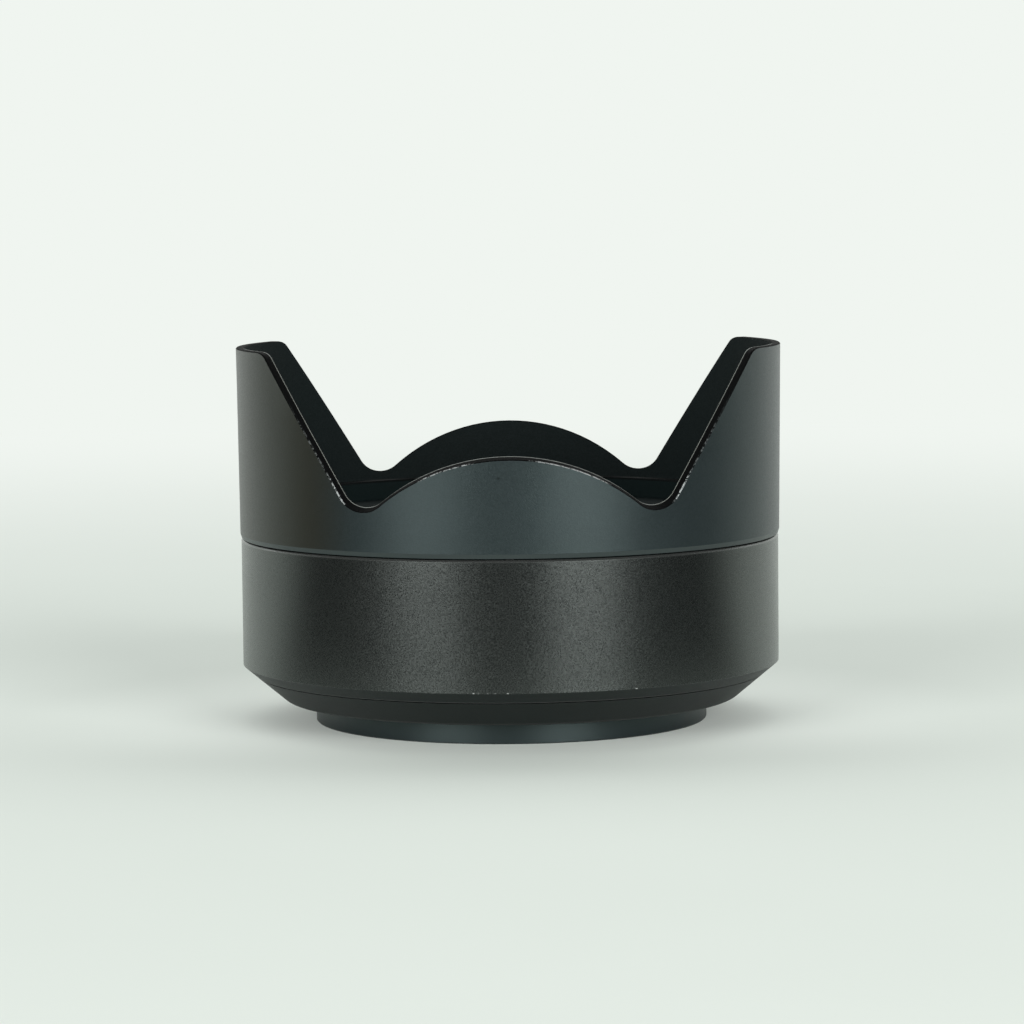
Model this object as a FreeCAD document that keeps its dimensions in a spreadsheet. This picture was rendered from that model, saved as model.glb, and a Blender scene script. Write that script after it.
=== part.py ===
import FreeCAD, Part
import math
import os
import Sketcher
from FreeCAD import Placement, Rotation, Vector
from types import SimpleNamespace

# A compact standard prime lens with its petal hood, standing on its base ring.
# The frame's origin is the centre of the rear face, and +Z is the optical axis, towards the subject.
# -Y is the front of the photograph and +X is to its right. All lengths are in millimetres.

DIMENSIONS = [
    # base ring and rear hub
    ("mount_ring_wall", 3.8),
    ("mount_ring_thickness", 2.45),
    ("mount_thread_radius", 21),
    ("mount_edge_chamfer", 0.15),
    ("mount_screw_count", 4),
    ("mount_screw_inset", 1.75),
    ("mount_screw_radius", 0.8),
    ("mount_screw_head_radius", 1.4),
    ("mount_screw_head_height", 0.8),
    ("mount_screw_length", 4.4),
    ("mount_screw_azimuth", 45),
    ("hub_bore_step", 0.4),
    ("hub_neck_wall", 2.52),
    ("hub_neck_height", 2.65),
    ("hub_flange_thickness", 1.3),
    # rear baffle
    ("baffle_overlap", 2.4),
    ("baffle_thickness", 0.4),
    ("baffle_window_width", 25),
    ("baffle_window_depth", 18),
    ("baffle_window_round", 1.5),
    ("baffle_screw_inset", 1.2),
    ("baffle_screw_radius", 0.5),
    ("baffle_screw_head_radius", 0.9),
    ("baffle_screw_head_height", 0.35),
    ("baffle_screw_length", 1.1),
    ("baffle_screw_count", 2),
    ("baffle_screw_azimuth", 90),
    # aperture ring
    ("aperture_ring_rim_width", 1.8),
    ("cone_slope", 0.84),
    ("aperture_ring_edge_round", 1.5),
    ("aperture_ring_foot_width", 0.9),
    ("aperture_ring_foot_rise", 0.3),
    ("aperture_ring_end_gap", 0.05),
    ("aperture_ring_shelf_gap", 0.1),
    ("parting_gap", 0.12),
    ("aperture_range", 45),
    ("link_inset", 1.2),
    ("link_radius", 0.9),
    ("link_end_margin", 0.2),
    ("link_depth", 1.8),
    ("link_slot_margin", 0.25),
    ("link_azimuth", 300),
    ("click_stops", 7),
    ("click_azimuth", 215),
    ("click_ball_radius", 0.8),
    ("click_notch_depth", 0.2),
    ("click_ball_gap", 0.05),
    ("click_spring_thickness", 0.18),
    ("click_spring_width", 1.8),
    ("click_spring_length", 6.4),
    ("click_spring_foot", 2.9),
    ("click_spring_ramp", 1.1),
    ("click_screw_radius", 0.5),
    ("click_screw_head_radius", 0.8),
    ("click_screw_head_height", 0.35),
    ("click_screw_offset", 11),
    # guide tube
    ("guide_foot_gap", 1.4),
    ("guide_foot_width", 3.5),
    ("guide_wall", 1.5),
    ("guide_foot_thickness", 1),
    ("guide_rise", 0.5),
    ("guide_screw_inset", 1.8),
    ("guide_screw_radius", 0.6),
    ("guide_screw_head_radius", 1.1),
    ("guide_screw_head_height", 0.6),
    ("guide_screw_count", 3),
    ("guide_screw_azimuth", 20),
    ("running_clearance", 0.08),
    # barrel sleeve, which is the focus ring
    ("barrel_rim_wall", 0.8),
    ("barrel_edge_rise", 1),
    ("barrel_lip_height", 0.92),
    ("barrel_top_chamfer", 0.2),
    ("barrel_foot_width", 0.7),
    ("cam_wall", 1.42),
    ("cam_side_gap", 0.1),
    ("cam_flange_width", 1.5),
    ("cam_flange_thickness", 1),
    ("cam_bottom_gap", 0.45),
    ("cam_screw_inset", 0.85),
    ("cam_screw_count", 6),
    ("cam_screw_radius", 0.45),
    ("cam_screw_head_radius", 0.7),
    ("cam_screw_head_height", 0.5),
    ("cam_screw_length", 2.6),
    ("cam_screw_azimuth", 50),
    ("focus_range", 110),
    ("focus_travel", 4.2),
    ("stop_pin_radius", 0.8),
    ("stop_pin_drop", 2.2),
    ("stop_pin_azimuth", 20),
    ("stop_pin_gap", 0.1),
    ("friction_washer_thickness", 0.3),
    ("friction_washer_width", 1),
    ("friction_washer_gap", 0.1),
    ("friction_washer_play", 0.07),
    # cam followers
    ("roller_radius", 1.5),
    ("roller_rise", 2.8),
    ("roller_count", 3),
    ("roller_azimuth", 90),
    ("roller_clearance", 0.05),
    ("roller_end_gap", 0.3),
    ("roller_side_gap", 0.1),
    ("roller_screw_radius", 0.7),
    ("roller_screw_head_radius", 1.05),
    ("roller_screw_head_height", 0.5),
    # sliding optical barrel
    ("optical_barrel_wall", 1.5),
    ("optical_barrel_gap", 0.3),
    ("optical_barrel_length", 10.8),
    ("web_depth", 1.5),
    ("web_thickness", 1.2),
    ("cell_body_radius", 12),
    ("nose_shoulder", 1.4),
    ("cell_seat_thickness", 0.62),
    ("nose_height", 4.7),
    ("nose_ring_height", 1),
    ("nose_ring_land", 1),
    ("nose_ring_chamfer", 0.2),
    ("nose_ring_lip", 0.25),
    # front glass group
    ("front_glass_radius", 9.6),
    ("front_glass_rise", 0.7),
    ("front_glass_rim", 0.83),
    ("front_glass_curve", 17),
    ("spacer_lip", 0.7),
    ("middle_glass_radius", 7.8),
    ("middle_glass_gap", 1.6),
    ("middle_glass_front_curve", 28),
    ("middle_glass_thickness", 1.2),
    ("middle_glass_rear_curve", 14.5),
    ("middle_seat_width", 0.5),
    ("front_retainer_width", 1.1),
    ("front_retainer_inset", 0.9),
    ("spanner_slot_angle", 9),
    ("spanner_slot_depth", 0.4),
    ("seat_clearance", 0.03),
    # rear glass group
    ("rear_glass_radius", 8.2),
    ("rear_glass_inset", 0.06),
    ("rear_glass_front_curve", 60),
    ("rear_flint_thickness", 0.94),
    ("cement_curve", 60),
    ("rear_crown_rim", 0.69),
    ("rear_glass_rear_curve", 24),
    ("rear_cell_wall", 2),
    ("rear_seat_thickness", 0.37),
    ("rear_cell_flange_width", 1.4),
    ("rear_cell_flange_thickness", 1),
    ("rear_seat_width", 0.7),
    ("rear_retainer_step", 0.8),
    ("rear_retainer_width", 1.4),
    ("rear_retainer_thickness", 0.6),
    # iris
    ("iris_ring_gap", 0.1),
    ("iris_cover_thickness", 1.2),
    ("iris_housing_margin", 5.2),
    ("iris_housing_wall", 1.7),
    ("iris_plate_thickness", 0.6),
    ("iris_plate_lip", 0.1),
    ("iris_collar_wall", 1.2),
    ("iris_screw_radius", 0.5),
    ("iris_screw_head_radius", 0.8),
    ("iris_screw_head_height", 0.4),
    ("iris_screw_length", 2),
    ("iris_screw_count", 3),
    ("iris_screw_azimuth", 20),
    ("iris_window_side_gap", 0.4),
    ("iris_window_top_gap", 0.6),
    ("iris_ring_lip", 1.4),
    ("iris_ring_thickness", 0.8),
    ("iris_arm_overhang", 1.1),
    ("iris_arm_width", 4.2),
    ("iris_arm_inset", 3),
    ("iris_fork_clearance", 0.05),
    ("blade_count", 6),
    ("blade_azimuth", 10),
    ("blade_thickness", 0.1),
    ("blade_pitch", 0.22),
    ("blade_first_gap", 0.08),
    ("blade_last_gap", 0.1),
    ("blade_inner_radius", 7.8),
    ("blade_width", 4.8),
    ("blade_span", 115),
    ("blade_lead", 3),
    ("blade_swing", 29),
    ("blade_pivot_step", 1),
    ("blade_pin_radius", 0.45),
    ("blade_pin_clearance", 0.05),
    ("blade_slot_clearance", 0.08),
    ("blade_tail_step", 0.9),
    ("blade_tail_azimuth", 22),
    ("blade_lobe_radius", 1.15),
    # front collar and trim
    ("collar_flange_thickness", 1.6),
    ("collar_side_gap", 0.2),
    ("filter_thread_length", 2.45),
    ("collar_ledge_thickness", 0.7),
    ("filter_thread_wall", 2),
    ("filter_thread_lead_in", 0.25),
    ("collar_screw_radius", 0.55),
    ("collar_screw_count", 3),
    ("collar_screw_azimuth", 30),
    ("collar_screw_depth", 0.1),
    ("collar_screw_end_gap", 0.3),
    ("lug_side_gap", 0.25),
    ("lug_height", 1.1),
    ("lug_thickness", 1.25),
    ("lug_half_width", 18),
    ("lug_azimuth", 90),
    ("lug_count", 3),
    ("trim_seat_step", 0.6),
    ("trim_overlap", 1.2),
    ("trim_edge_thickness", 0.7),
    ("trim_edge_inset", 0.3),
    ("trim_seat_clearance", 0.05),
    ("trim_hub_lip", 0.8),
    ("trim_bore_clearance", 0.3),
    ("trim_hub_width", 2),
    ("travel_margin", 0.5),
    ("trim_hub_height", 1.4),
    ("trim_hub_drop", 0.2),
    ("felt_width", 1.2),
    ("felt_thickness", 0.7),
    ("felt_clearance", 0.1),
    # petal hood
    ("hood_parting_gap", 0.18),
    ("hood_step", 0.13),
    ("hood_flare", 0.22),
    ("hood_height", 23.95),
    ("hood_wall_at_top", 1),
    ("hood_wall_at_notch", 1),
    ("hood_inner_flare_height", 2.4),
    ("hood_rebate_depth", 0.82),
    ("hood_straight_height", 2.5),
    ("hood_lower_chamfer_height", 0.55),
    ("hood_lower_chamfer_depth", 0.18),
    ("hood_rebate_gap", 0.17),
    ("tab_side_gap", 0.1),
    ("tab_thickness", 1.55),
    ("tab_clearance", 0.06),
    ("tab_end_gap", 0.12),
    ("hood_stop_radius", 0.45),
    ("hood_stop_height", 1.1),
    ("hood_spring_depth", 0.5),
    ("hood_spring_thickness", 0.2),
    ("hood_spring_height", 1),
    ("hood_spring_half_width", 8),
    ("hood_pocket_half_width", 8.5),
    ("hood_spring_rise", 0.25),
    ("hood_spring_gap", 0.05),
    ("hood_spring_inset", 0.1),
    ("petal_crest_rise", 12.15),
    ("petal_arch_curve", 23.2),
    ("notch_rise", 5.85),
    ("notch_curve", 2.9),
    ("flank_angle", 60.6),
    ("petal_corner_curve", 1.4),
    ("petal_reference_depth", 1.13),
    ("petal_edge_drop", 0.5),
    ("petal_inner_chamfer", 0.1),
    ("petal_outer_chamfer", 0.12),
]

# Sizes that follow from others, from the thread outwards and from the base upwards.
FOLLOWING = [
    # radii of the fixed pieces, the rings and the barrel
    ("mount_ring_radius", "mount_thread_radius + mount_ring_wall"),
    ("mount_screw_circle", "mount_thread_radius + mount_screw_inset"),
    ("hub_bore_radius", "mount_thread_radius + hub_bore_step"),
    ("baffle_radius", "hub_bore_radius + baffle_overlap"),
    ("baffle_screw_circle", "hub_bore_radius + baffle_screw_inset"),
    ("aperture_ring_bore", "hub_bore_radius + hub_neck_wall + running_clearance"),
    ("link_circle", "aperture_ring_bore + link_inset"),
    ("guide_foot_bore", "link_circle + guide_foot_gap"),
    ("guide_outer_radius", "guide_foot_bore + guide_foot_width"),
    ("guide_screw_circle", "guide_outer_radius - guide_screw_inset"),
    ("cam_outer_radius", "guide_outer_radius + running_clearance + cam_wall"),
    ("cam_flange_radius", "cam_outer_radius + cam_flange_width"),
    ("cam_screw_circle", "cam_flange_radius - cam_screw_inset"),
    ("barrel_bore_radius", "cam_outer_radius + cam_side_gap"),
    ("barrel_recess_radius", "cam_flange_radius + cam_side_gap"),
    ("barrel_radius", "barrel_recess_radius + barrel_rim_wall"),
    # radii of the hood, the collar and the trim
    ("hood_bottom_radius", "barrel_radius + hood_step"),
    ("hood_top_radius", "hood_bottom_radius + hood_flare"),
    ("petal_reference_radius", "hood_bottom_radius - petal_reference_depth"),
    ("collar_flange_radius", "barrel_recess_radius - collar_side_gap"),
    ("hood_rebate_radius", "collar_flange_radius + hood_rebate_gap"),
    ("hood_bore_radius", "hood_rebate_radius - hood_rebate_depth"),
    ("lug_radius", "hood_bore_radius - lug_side_gap"),
    ("collar_radius", "lug_radius - lug_height"),
    ("tab_inner_radius", "collar_radius + tab_side_gap"),
    ("filter_thread_radius", "collar_radius - filter_thread_wall"),
    ("trim_radius", "filter_thread_radius - trim_seat_step"),
    ("collar_ledge_bore", "trim_radius - trim_overlap"),
    # radii of the glass, its cells and the iris
    ("nose_radius", "cell_body_radius + nose_shoulder"),
    ("trim_hub_radius", "nose_radius + trim_hub_width"),
    ("front_retainer_bore", "front_glass_radius - front_retainer_width"),
    ("spacer_bore", "middle_glass_radius - spacer_lip"),
    ("middle_seat_bore", "middle_glass_radius - middle_seat_width"),
    ("rear_seat_bore", "rear_glass_radius - rear_seat_width"),
    ("rear_retainer_radius", "rear_glass_radius + rear_retainer_step"),
    ("rear_retainer_bore", "rear_retainer_radius - rear_retainer_width"),
    ("rear_cell_radius", "rear_retainer_radius + rear_cell_wall"),
    ("rear_cell_flange_radius", "rear_cell_radius + rear_cell_flange_width"),
    ("blade_outer_radius", "blade_inner_radius + blade_width"),
    ("blade_pivot_circle", "blade_outer_radius + blade_pivot_step"),
    ("blade_tail_circle", "blade_outer_radius + blade_tail_step"),
    ("iris_housing_radius", "blade_pivot_circle + iris_housing_margin"),
    ("iris_collar_radius", "cell_body_radius + iris_collar_wall"),
    ("iris_ring_bore", "blade_inner_radius + iris_ring_lip"),
    ("iris_arm_root", "iris_ring_bore + iris_arm_inset"),
    ("iris_arm_reach", "link_circle + iris_arm_overhang"),
    # heights of the optical unit
    ("hub_rise", "mount_ring_thickness + hub_neck_height + hub_flange_thickness"),
    ("optical_barrel_bottom", "hub_rise + guide_foot_thickness + optical_barrel_gap"),
    ("optical_barrel_top", "optical_barrel_bottom + optical_barrel_length"),
    ("roller_height", "optical_barrel_bottom + roller_rise"),
    ("web_bottom", "optical_barrel_top - web_depth"),
    ("cell_top", "web_bottom + web_thickness + nose_height"),
    ("front_glass_vertex", "cell_top + front_glass_rise"),
    ("front_glass_fall", "front_glass_curve - sqrt(front_glass_curve ^ 2 - front_glass_radius ^ 2)"),
    ("front_glass_thickness", "front_glass_fall + front_glass_rim"),
    ("front_retainer_top", "cell_top - front_retainer_inset"),
    ("middle_glass_front_vertex", "front_glass_vertex - front_glass_thickness - middle_glass_gap"),
    ("middle_glass_rear_vertex", "middle_glass_front_vertex - middle_glass_thickness"),
    ("middle_glass_fall",
     "middle_glass_rear_curve - sqrt(middle_glass_rear_curve ^ 2 - middle_glass_radius ^ 2)"),
    ("cell_bottom", "middle_glass_rear_vertex - middle_glass_fall - cell_seat_thickness"),
    ("iris_plate_bottom", "cell_bottom - iris_plate_thickness"),
    ("blade_space", "blade_first_gap + blade_count * blade_pitch + blade_last_gap"),
    ("iris_ring_bottom", "iris_plate_bottom - blade_space - iris_ring_thickness"),
    ("iris_cover_bottom", "iris_ring_bottom - iris_ring_gap - iris_cover_thickness"),
    ("rear_glass_front_vertex", "iris_cover_bottom - rear_glass_inset"),
    ("cement_vertex", "rear_glass_front_vertex - rear_flint_thickness"),
    ("cement_fall", "cement_curve - sqrt(cement_curve ^ 2 - rear_glass_radius ^ 2)"),
    ("rear_glass_fall", "rear_glass_rear_curve - sqrt(rear_glass_rear_curve ^ 2 - rear_glass_radius ^ 2)"),
    ("rear_glass_rear_vertex", "cement_vertex - cement_fall - rear_glass_fall - rear_crown_rim"),
    ("rear_seat_fall", "rear_glass_rear_curve - sqrt(rear_glass_rear_curve ^ 2 - rear_seat_bore ^ 2)"),
    ("rear_cell_bottom", "rear_glass_rear_vertex + rear_seat_fall - seat_clearance - rear_seat_thickness"),
    ("rear_cell_flange_bottom", "iris_cover_bottom - rear_cell_flange_thickness"),
    ("link_foot", "mount_ring_thickness + hub_neck_height - aperture_ring_shelf_gap - link_depth"),
    ("link_top", "iris_ring_bottom + iris_ring_thickness + focus_travel + link_end_margin"),
    ("link_height", "link_top - link_foot"),
    # heights of the trim, the collar, the barrel and the hood
    ("trim_hub_bottom", "web_bottom + web_thickness + focus_travel + travel_margin"),
    ("trim_hub_top", "trim_hub_bottom + trim_hub_height"),
    ("guide_top", "trim_hub_top + trim_hub_drop"),
    ("collar_flange_bottom", "guide_top - guide_rise - collar_flange_thickness"),
    ("collar_screw_height", "collar_flange_bottom + collar_flange_thickness / 2"),
    ("collar_seat_top", "guide_top + collar_ledge_thickness + trim_edge_thickness + trim_seat_clearance"),
    ("collar_top", "collar_seat_top + filter_thread_length"),
    ("washer_rise", "seat_clearance + friction_washer_thickness + friction_washer_play"),
    ("barrel_shoulder_height", "collar_flange_bottom - washer_rise - cam_flange_thickness"),
    ("stop_pin_height", "barrel_shoulder_height - stop_pin_drop"),
    ("barrel_lower_edge", "hub_rise + barrel_edge_rise"),
    ("barrel_top", "collar_flange_bottom + barrel_lip_height"),
    ("hood_bottom", "barrel_top + hood_parting_gap"),
    ("hood_cone_start", "hood_bottom + hood_straight_height"),
    ("hood_thin_start", "hood_cone_start + hood_inner_flare_height"),
    ("hood_height_limit", "hood_bottom + hood_height"),
    ("petal_crest", "hood_bottom + petal_crest_rise"),
    ("notch_bottom", "hood_bottom + notch_rise"),
]

doc = FreeCAD.newDocument("StandardPrimeLens")
sheet = doc.addObject("Spreadsheet::Sheet", "Dimensions")
for row, (alias, given) in enumerate(DIMENSIONS + FOLLOWING, start=1):
    sheet.set(f"A{row}", alias)
    sheet.set(f"B{row}", f"={given}")
    sheet.setAlias(f"B{row}", alias)
doc.recompute()


class Size:
    """A size as a number and as the sheet expression that it comes from."""

    def __init__(self, number, text):
        self.number = number
        self.text = text

    @staticmethod
    def of(thing):
        return thing if isinstance(thing, Size) else Size(thing, str(thing))

    def joined(self, other, sign, number):
        return Size(number, f"({self.text} {sign} {other.text})")

    def __add__(self, other):
        other = Size.of(other)
        return self.joined(other, "+", self.number + other.number)

    def __sub__(self, other):
        other = Size.of(other)
        return self.joined(other, "-", self.number - other.number)

    def __mul__(self, other):
        other = Size.of(other)
        return self.joined(other, "*", self.number * other.number)

    def __truediv__(self, other):
        other = Size.of(other)
        return self.joined(other, "/", self.number / other.number)


dim = SimpleNamespace()
for alias, given in DIMENSIONS + FOLLOWING:
    setattr(dim, alias, Size(float(sheet.get(alias)), "Dimensions." + alias))

FULL_TURN = 360
LARGEST_RADIUS = 40
# How far a cutting shape runs past the surface that it cuts, and how far a joined shape sinks in.
OVERRUN = 0.3
# Share of a screw head's height that its slot takes, and share of its radius that the slot is wide.
SLOT_DEPTH_SHARE = 0.45
SLOT_WIDTH_SHARE = 0.3
subparts = []


def subpart(item, label):
    """Give a finished object its node's name and put it on the list that is written out."""
    item.Label = label
    subparts.append(item)
    return item


def new_body(name):
    return doc.addObject("PartDesign::Body", name)


def origin_feature(body, role):
    return next(item for item in body.Origin.OriginFeatures if item.Role == role)


def plane_sketch(body, role, offset=None, turn=0):
    """Sketch on one of the body's own planes, lifted along its normal or turned about the optical axis."""
    sketch = body.newObject("Sketcher::SketchObject", body.Name + "_sketch")
    sketch.AttachmentSupport = (origin_feature(body, role), [""])
    sketch.MapMode = "FlatFace"
    if turn:
        sketch.AttachmentOffset = Placement(Vector(), Rotation(Vector(0, 1, 0), turn))
    if offset is not None:
        sketch.setExpression("AttachmentOffset.Base.z", offset.text)
    return sketch


def draw_outline(sketch, corners):
    """Closed outline of straight lines through corners, each held by its two distances from the axes."""
    corners = [(Size.of(across), Size.of(up)) for across, up in corners]
    points = [Vector(across.number, up.number, 0) for across, up in corners]
    count = len(points)
    for index in range(count):
        sketch.addGeometry(Part.LineSegment(points[index], points[(index + 1) % count]))
    for index in range(count):
        sketch.addConstraint(Sketcher.Constraint("Coincident", index, 2, (index + 1) % count, 1))
    for index, corner in enumerate(corners):
        for kind, size in zip(("DistanceX", "DistanceY"), corner):
            if size.number == 0:
                axis = -2 if kind == "DistanceX" else -1
                sketch.addConstraint(Sketcher.Constraint("PointOnObject", index, 1, axis))
                continue
            place = sketch.addConstraint(Sketcher.Constraint(kind, -1, 1, index, 1, size.number))
            sketch.setExpression(f"Constraints[{place}]", size.text)


def draw_circle(sketch, across, up, radius):
    """Circle at a place in the sketch."""
    across, up = Size.of(across), Size.of(up)
    centre = Vector(across.number, up.number, 0)
    index = sketch.addGeometry(Part.Circle(centre, Vector(0, 0, 1), radius.number))
    for kind, size in (("DistanceX", across), ("DistanceY", up)):
        if size.number == 0:
            axis = -2 if kind == "DistanceX" else -1
            sketch.addConstraint(Sketcher.Constraint("PointOnObject", index, 3, axis))
            continue
        place = sketch.addConstraint(Sketcher.Constraint(kind, -1, 1, index, 3, size.number))
        sketch.setExpression(f"Constraints[{place}]", size.text)
    place = sketch.addConstraint(Sketcher.Constraint("Radius", index, radius.number))
    sketch.setExpression(f"Constraints[{place}]", radius.text)


def revolve(body, kind, sketch, angle=None):
    """Turned feature about the optical axis: a full turn, or a sector centred on the sketch."""
    feature = body.newObject("PartDesign::" + kind, body.Name + "_" + kind.lower())
    feature.Profile = sketch
    feature.ReferenceAxis = (sketch, ["V_Axis"])
    if angle is None:
        feature.Angle = FULL_TURN
    else:
        feature.Midplane = True
        feature.setExpression("Angle", angle.text)
    sketch.Visibility = False
    body.Tip = feature
    return feature


def around_axis(body, feature, count):
    """Copies of a feature, evenly spaced about the optical axis."""
    pattern = body.newObject("PartDesign::PolarPattern", body.Name + "_pattern")
    pattern.Originals = [feature]
    pattern.Axis = (origin_feature(body, "Z_Axis"), [""])
    pattern.Angle = FULL_TURN
    pattern.setExpression("Occurrences", Size.of(count).text)
    body.Tip = pattern
    return pattern


def turned(name, corners):
    """Body turned from one outline of (radius, height) corners."""
    body = new_body(name)
    sketch = plane_sketch(body, "XZ_Plane")
    draw_outline(sketch, corners)
    revolve(body, "Revolution", sketch)
    return body


def sector(body, kind, corners, angle, azimuth, count=1):
    """Add or cut a part-turn of an outline, centred on an azimuth, and repeat it about the axis."""
    sketch = plane_sketch(body, "XZ_Plane", turn=azimuth)
    draw_outline(sketch, corners)
    feature = revolve(body, kind, sketch, angle)
    if Size.of(count).number > 1:
        around_axis(body, feature, count)


def pocket(body, sketch, length, count=1):
    """Cut a sketch away along its normal, and repeat the cut about the axis."""
    doc.recompute()
    before = body.Shape.Volume
    feature = body.newObject("PartDesign::Pocket", body.Name + "_pocket")
    feature.Profile = sketch
    feature.Reversed = True
    feature.setExpression("Length", Size.of(length).text)
    sketch.Visibility = False
    body.Tip = feature
    if Size.of(count).number > 1:
        around_axis(body, feature, count)
    doc.recompute()
    if not body.Shape.Volume < before:
        raise RuntimeError(body.Name + " has a pocket that cuts nothing")


def axial_holes(body, circle, radius, bottom, length, azimuth, count):
    """Holes along the optical axis, cut upwards from a height."""
    turn = math.radians(azimuth)
    sketch = plane_sketch(body, "XY_Plane", offset=bottom)
    draw_circle(sketch, circle * math.cos(turn), circle * math.sin(turn), radius)
    pocket(body, sketch, length, count)


def radial_holes(body, height, radius, azimuth, count):
    """Holes from the optical axis outwards through one wall."""
    sketch = plane_sketch(body, "YZ_Plane", turn=azimuth)
    draw_circle(sketch, 0, height, radius)
    pocket(body, sketch, LARGEST_RADIUS, count)


def primitive(kind, name, sizes, radial=None, height=None, azimuth=0, lying=False):
    """Primitive at a distance from the axis, a height and an azimuth. Lying, its own axis points outwards."""
    item = doc.addObject("Part::" + kind, name)
    for key, size in sizes.items():
        item.setExpression(key, Size.of(size).text)
    turn = Rotation(Vector(0, 0, 1), azimuth)
    if lying:
        turn = turn.multiply(Rotation(Vector(0, 1, 0), 90))
    item.Placement = Placement(Vector(), turn)
    angle = math.radians(azimuth)
    if radial is not None:
        item.setExpression("Placement.Base.x", (Size.of(radial) * math.cos(angle)).text)
        item.setExpression("Placement.Base.y", (Size.of(radial) * math.sin(angle)).text)
    if height is not None:
        item.setExpression("Placement.Base.z", Size.of(height).text)
    return item


def joined(name, shapes):
    item = doc.addObject("Part::MultiFuse", name)
    item.Shapes = shapes
    return item


def cut(name, base, tool):
    item = doc.addObject("Part::Cut", name)
    item.Base = base
    item.Tool = tool
    return item


def group(name, shapes):
    item = doc.addObject("Part::Compound", name)
    item.Links = shapes
    return subpart(item, name)


def azimuths(first, count):
    """Azimuths of evenly spaced copies, from the first one on."""
    copies = int(count.number)
    return [first + FULL_TURN * index / copies for index in range(copies)]


def headed_screw(name, shank, length, head, head_height, radial, height, azimuth, head_below, lying=False):
    """Slotted screw. The head lies at the end that is given, and the shank runs from there."""
    side = -1 if head_below else 1
    start = Size.of(radial) if lying else Size.of(height)
    shank_start = start if head_below else start - length
    head_start = start if head_below else start - head_height
    slot_depth = head_height * SLOT_DEPTH_SHARE
    slot_start = start - OVERRUN if head_below else start - slot_depth
    slot_width = head * SLOT_WIDTH_SHARE

    def place(item_start):
        return (item_start, height) if lying else (radial, item_start)

    def cylinder(part, size, tall, begin):
        out, up = place(begin)
        sizes = {"Radius": size, "Height": tall}
        return primitive("Cylinder", f"{name}_{part}", sizes, out, up, azimuth, lying)

    body = joined(name + "_blank", [
        cylinder("shank", shank, length, shank_start),
        cylinder("head", head, head_height, head_start),
    ])
    out, up = place(slot_start)
    slot = doc.addObject("Part::Box", name + "_slot")
    slot.setExpression("Length", (head * 4).text)
    slot.setExpression("Width", slot_width.text)
    slot.setExpression("Height", (slot_depth + OVERRUN).text)
    angle = math.radians(azimuth)
    turn = Rotation(Vector(0, 0, 1), azimuth)
    back = (head * -2, slot_width * -0.5)
    if lying:
        turn = turn.multiply(Rotation(Vector(0, 1, 0), 90))
        tangent = (-math.sin(angle), math.cos(angle))
        slot.Placement = Placement(Vector(), turn)
        slot.setExpression("Placement.Base.x", (out * math.cos(angle) + back[1] * tangent[0]).text)
        slot.setExpression("Placement.Base.y", (out * math.sin(angle) + back[1] * tangent[1]).text)
        slot.setExpression("Placement.Base.z", (Size.of(up) - back[0]).text)
    else:
        slot.Placement = Placement(Vector(), turn)
        across = Size.of(out) + back[0]
        slot.setExpression("Placement.Base.x", (across * math.cos(angle) - back[1] * math.sin(angle)).text)
        slot.setExpression("Placement.Base.y", (across * math.sin(angle) + back[1] * math.cos(angle)).text)
        slot.setExpression("Placement.Base.z", Size.of(up).text)
    return cut(name, body, slot)


# Base ring: the plain ring that the lens stands on, with the 42 mm thread inside and four screws.
hub_top = dim.hub_rise
hub_flange_bottom = dim.mount_ring_thickness + dim.hub_neck_height
mount_inner_lead = dim.mount_thread_radius + dim.mount_edge_chamfer
mount_ring = turned("mount_ring", [
    (mount_inner_lead, 0),
    (dim.mount_ring_radius - dim.mount_edge_chamfer, 0),
    (dim.mount_ring_radius, dim.mount_edge_chamfer),
    (dim.mount_ring_radius, dim.mount_ring_thickness),
    (dim.mount_thread_radius, dim.mount_ring_thickness),
    (dim.mount_thread_radius, dim.mount_edge_chamfer),
])
mount_screw_azimuth = dim.mount_screw_azimuth.number
axial_holes(mount_ring, dim.mount_screw_circle, dim.mount_screw_radius, Size.of(0),
            dim.mount_ring_thickness, mount_screw_azimuth, dim.mount_screw_count)
head_recess = dim.mount_screw_head_height + dim.mount_edge_chamfer
axial_holes(mount_ring, dim.mount_screw_circle, dim.mount_screw_head_radius, Size.of(0),
            head_recess, mount_screw_azimuth, dim.mount_screw_count)
subpart(mount_ring, "mount_ring")
group("mount_screws", [
    headed_screw(f"mount_screw_{index}", dim.mount_screw_radius, dim.mount_screw_length,
                 dim.mount_screw_head_radius, dim.mount_screw_head_height, dim.mount_screw_circle,
                 dim.mount_edge_chamfer, azimuth, head_below=True)
    for index, azimuth in enumerate(azimuths(mount_screw_azimuth, dim.mount_screw_count))
])

# Rear hub: the neck that the aperture ring turns on, and the flange that carries the guide tube.
hub_neck_radius = dim.aperture_ring_bore - dim.running_clearance
rear_hub = turned("rear_hub", [
    (dim.hub_bore_radius, dim.mount_ring_thickness),
    (hub_neck_radius, dim.mount_ring_thickness),
    (hub_neck_radius, hub_flange_bottom),
    (dim.guide_outer_radius, hub_flange_bottom),
    (dim.guide_outer_radius, hub_top),
    (dim.hub_bore_radius, hub_top),
])
axial_holes(rear_hub, dim.mount_screw_circle, dim.mount_screw_radius, dim.mount_ring_thickness,
            dim.mount_screw_length + dim.mount_edge_chamfer - dim.mount_ring_thickness,
            mount_screw_azimuth, dim.mount_screw_count)
link_azimuth = dim.link_azimuth.number
link_half_angle = Size.of(math.degrees(1)) * (dim.link_radius + dim.link_slot_margin) / dim.link_circle
slot_angle = dim.aperture_range + link_half_angle * 2
slot_half_width = dim.link_radius + dim.link_slot_margin
link_slot_centre = link_azimuth + dim.aperture_range.number / 2
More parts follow.
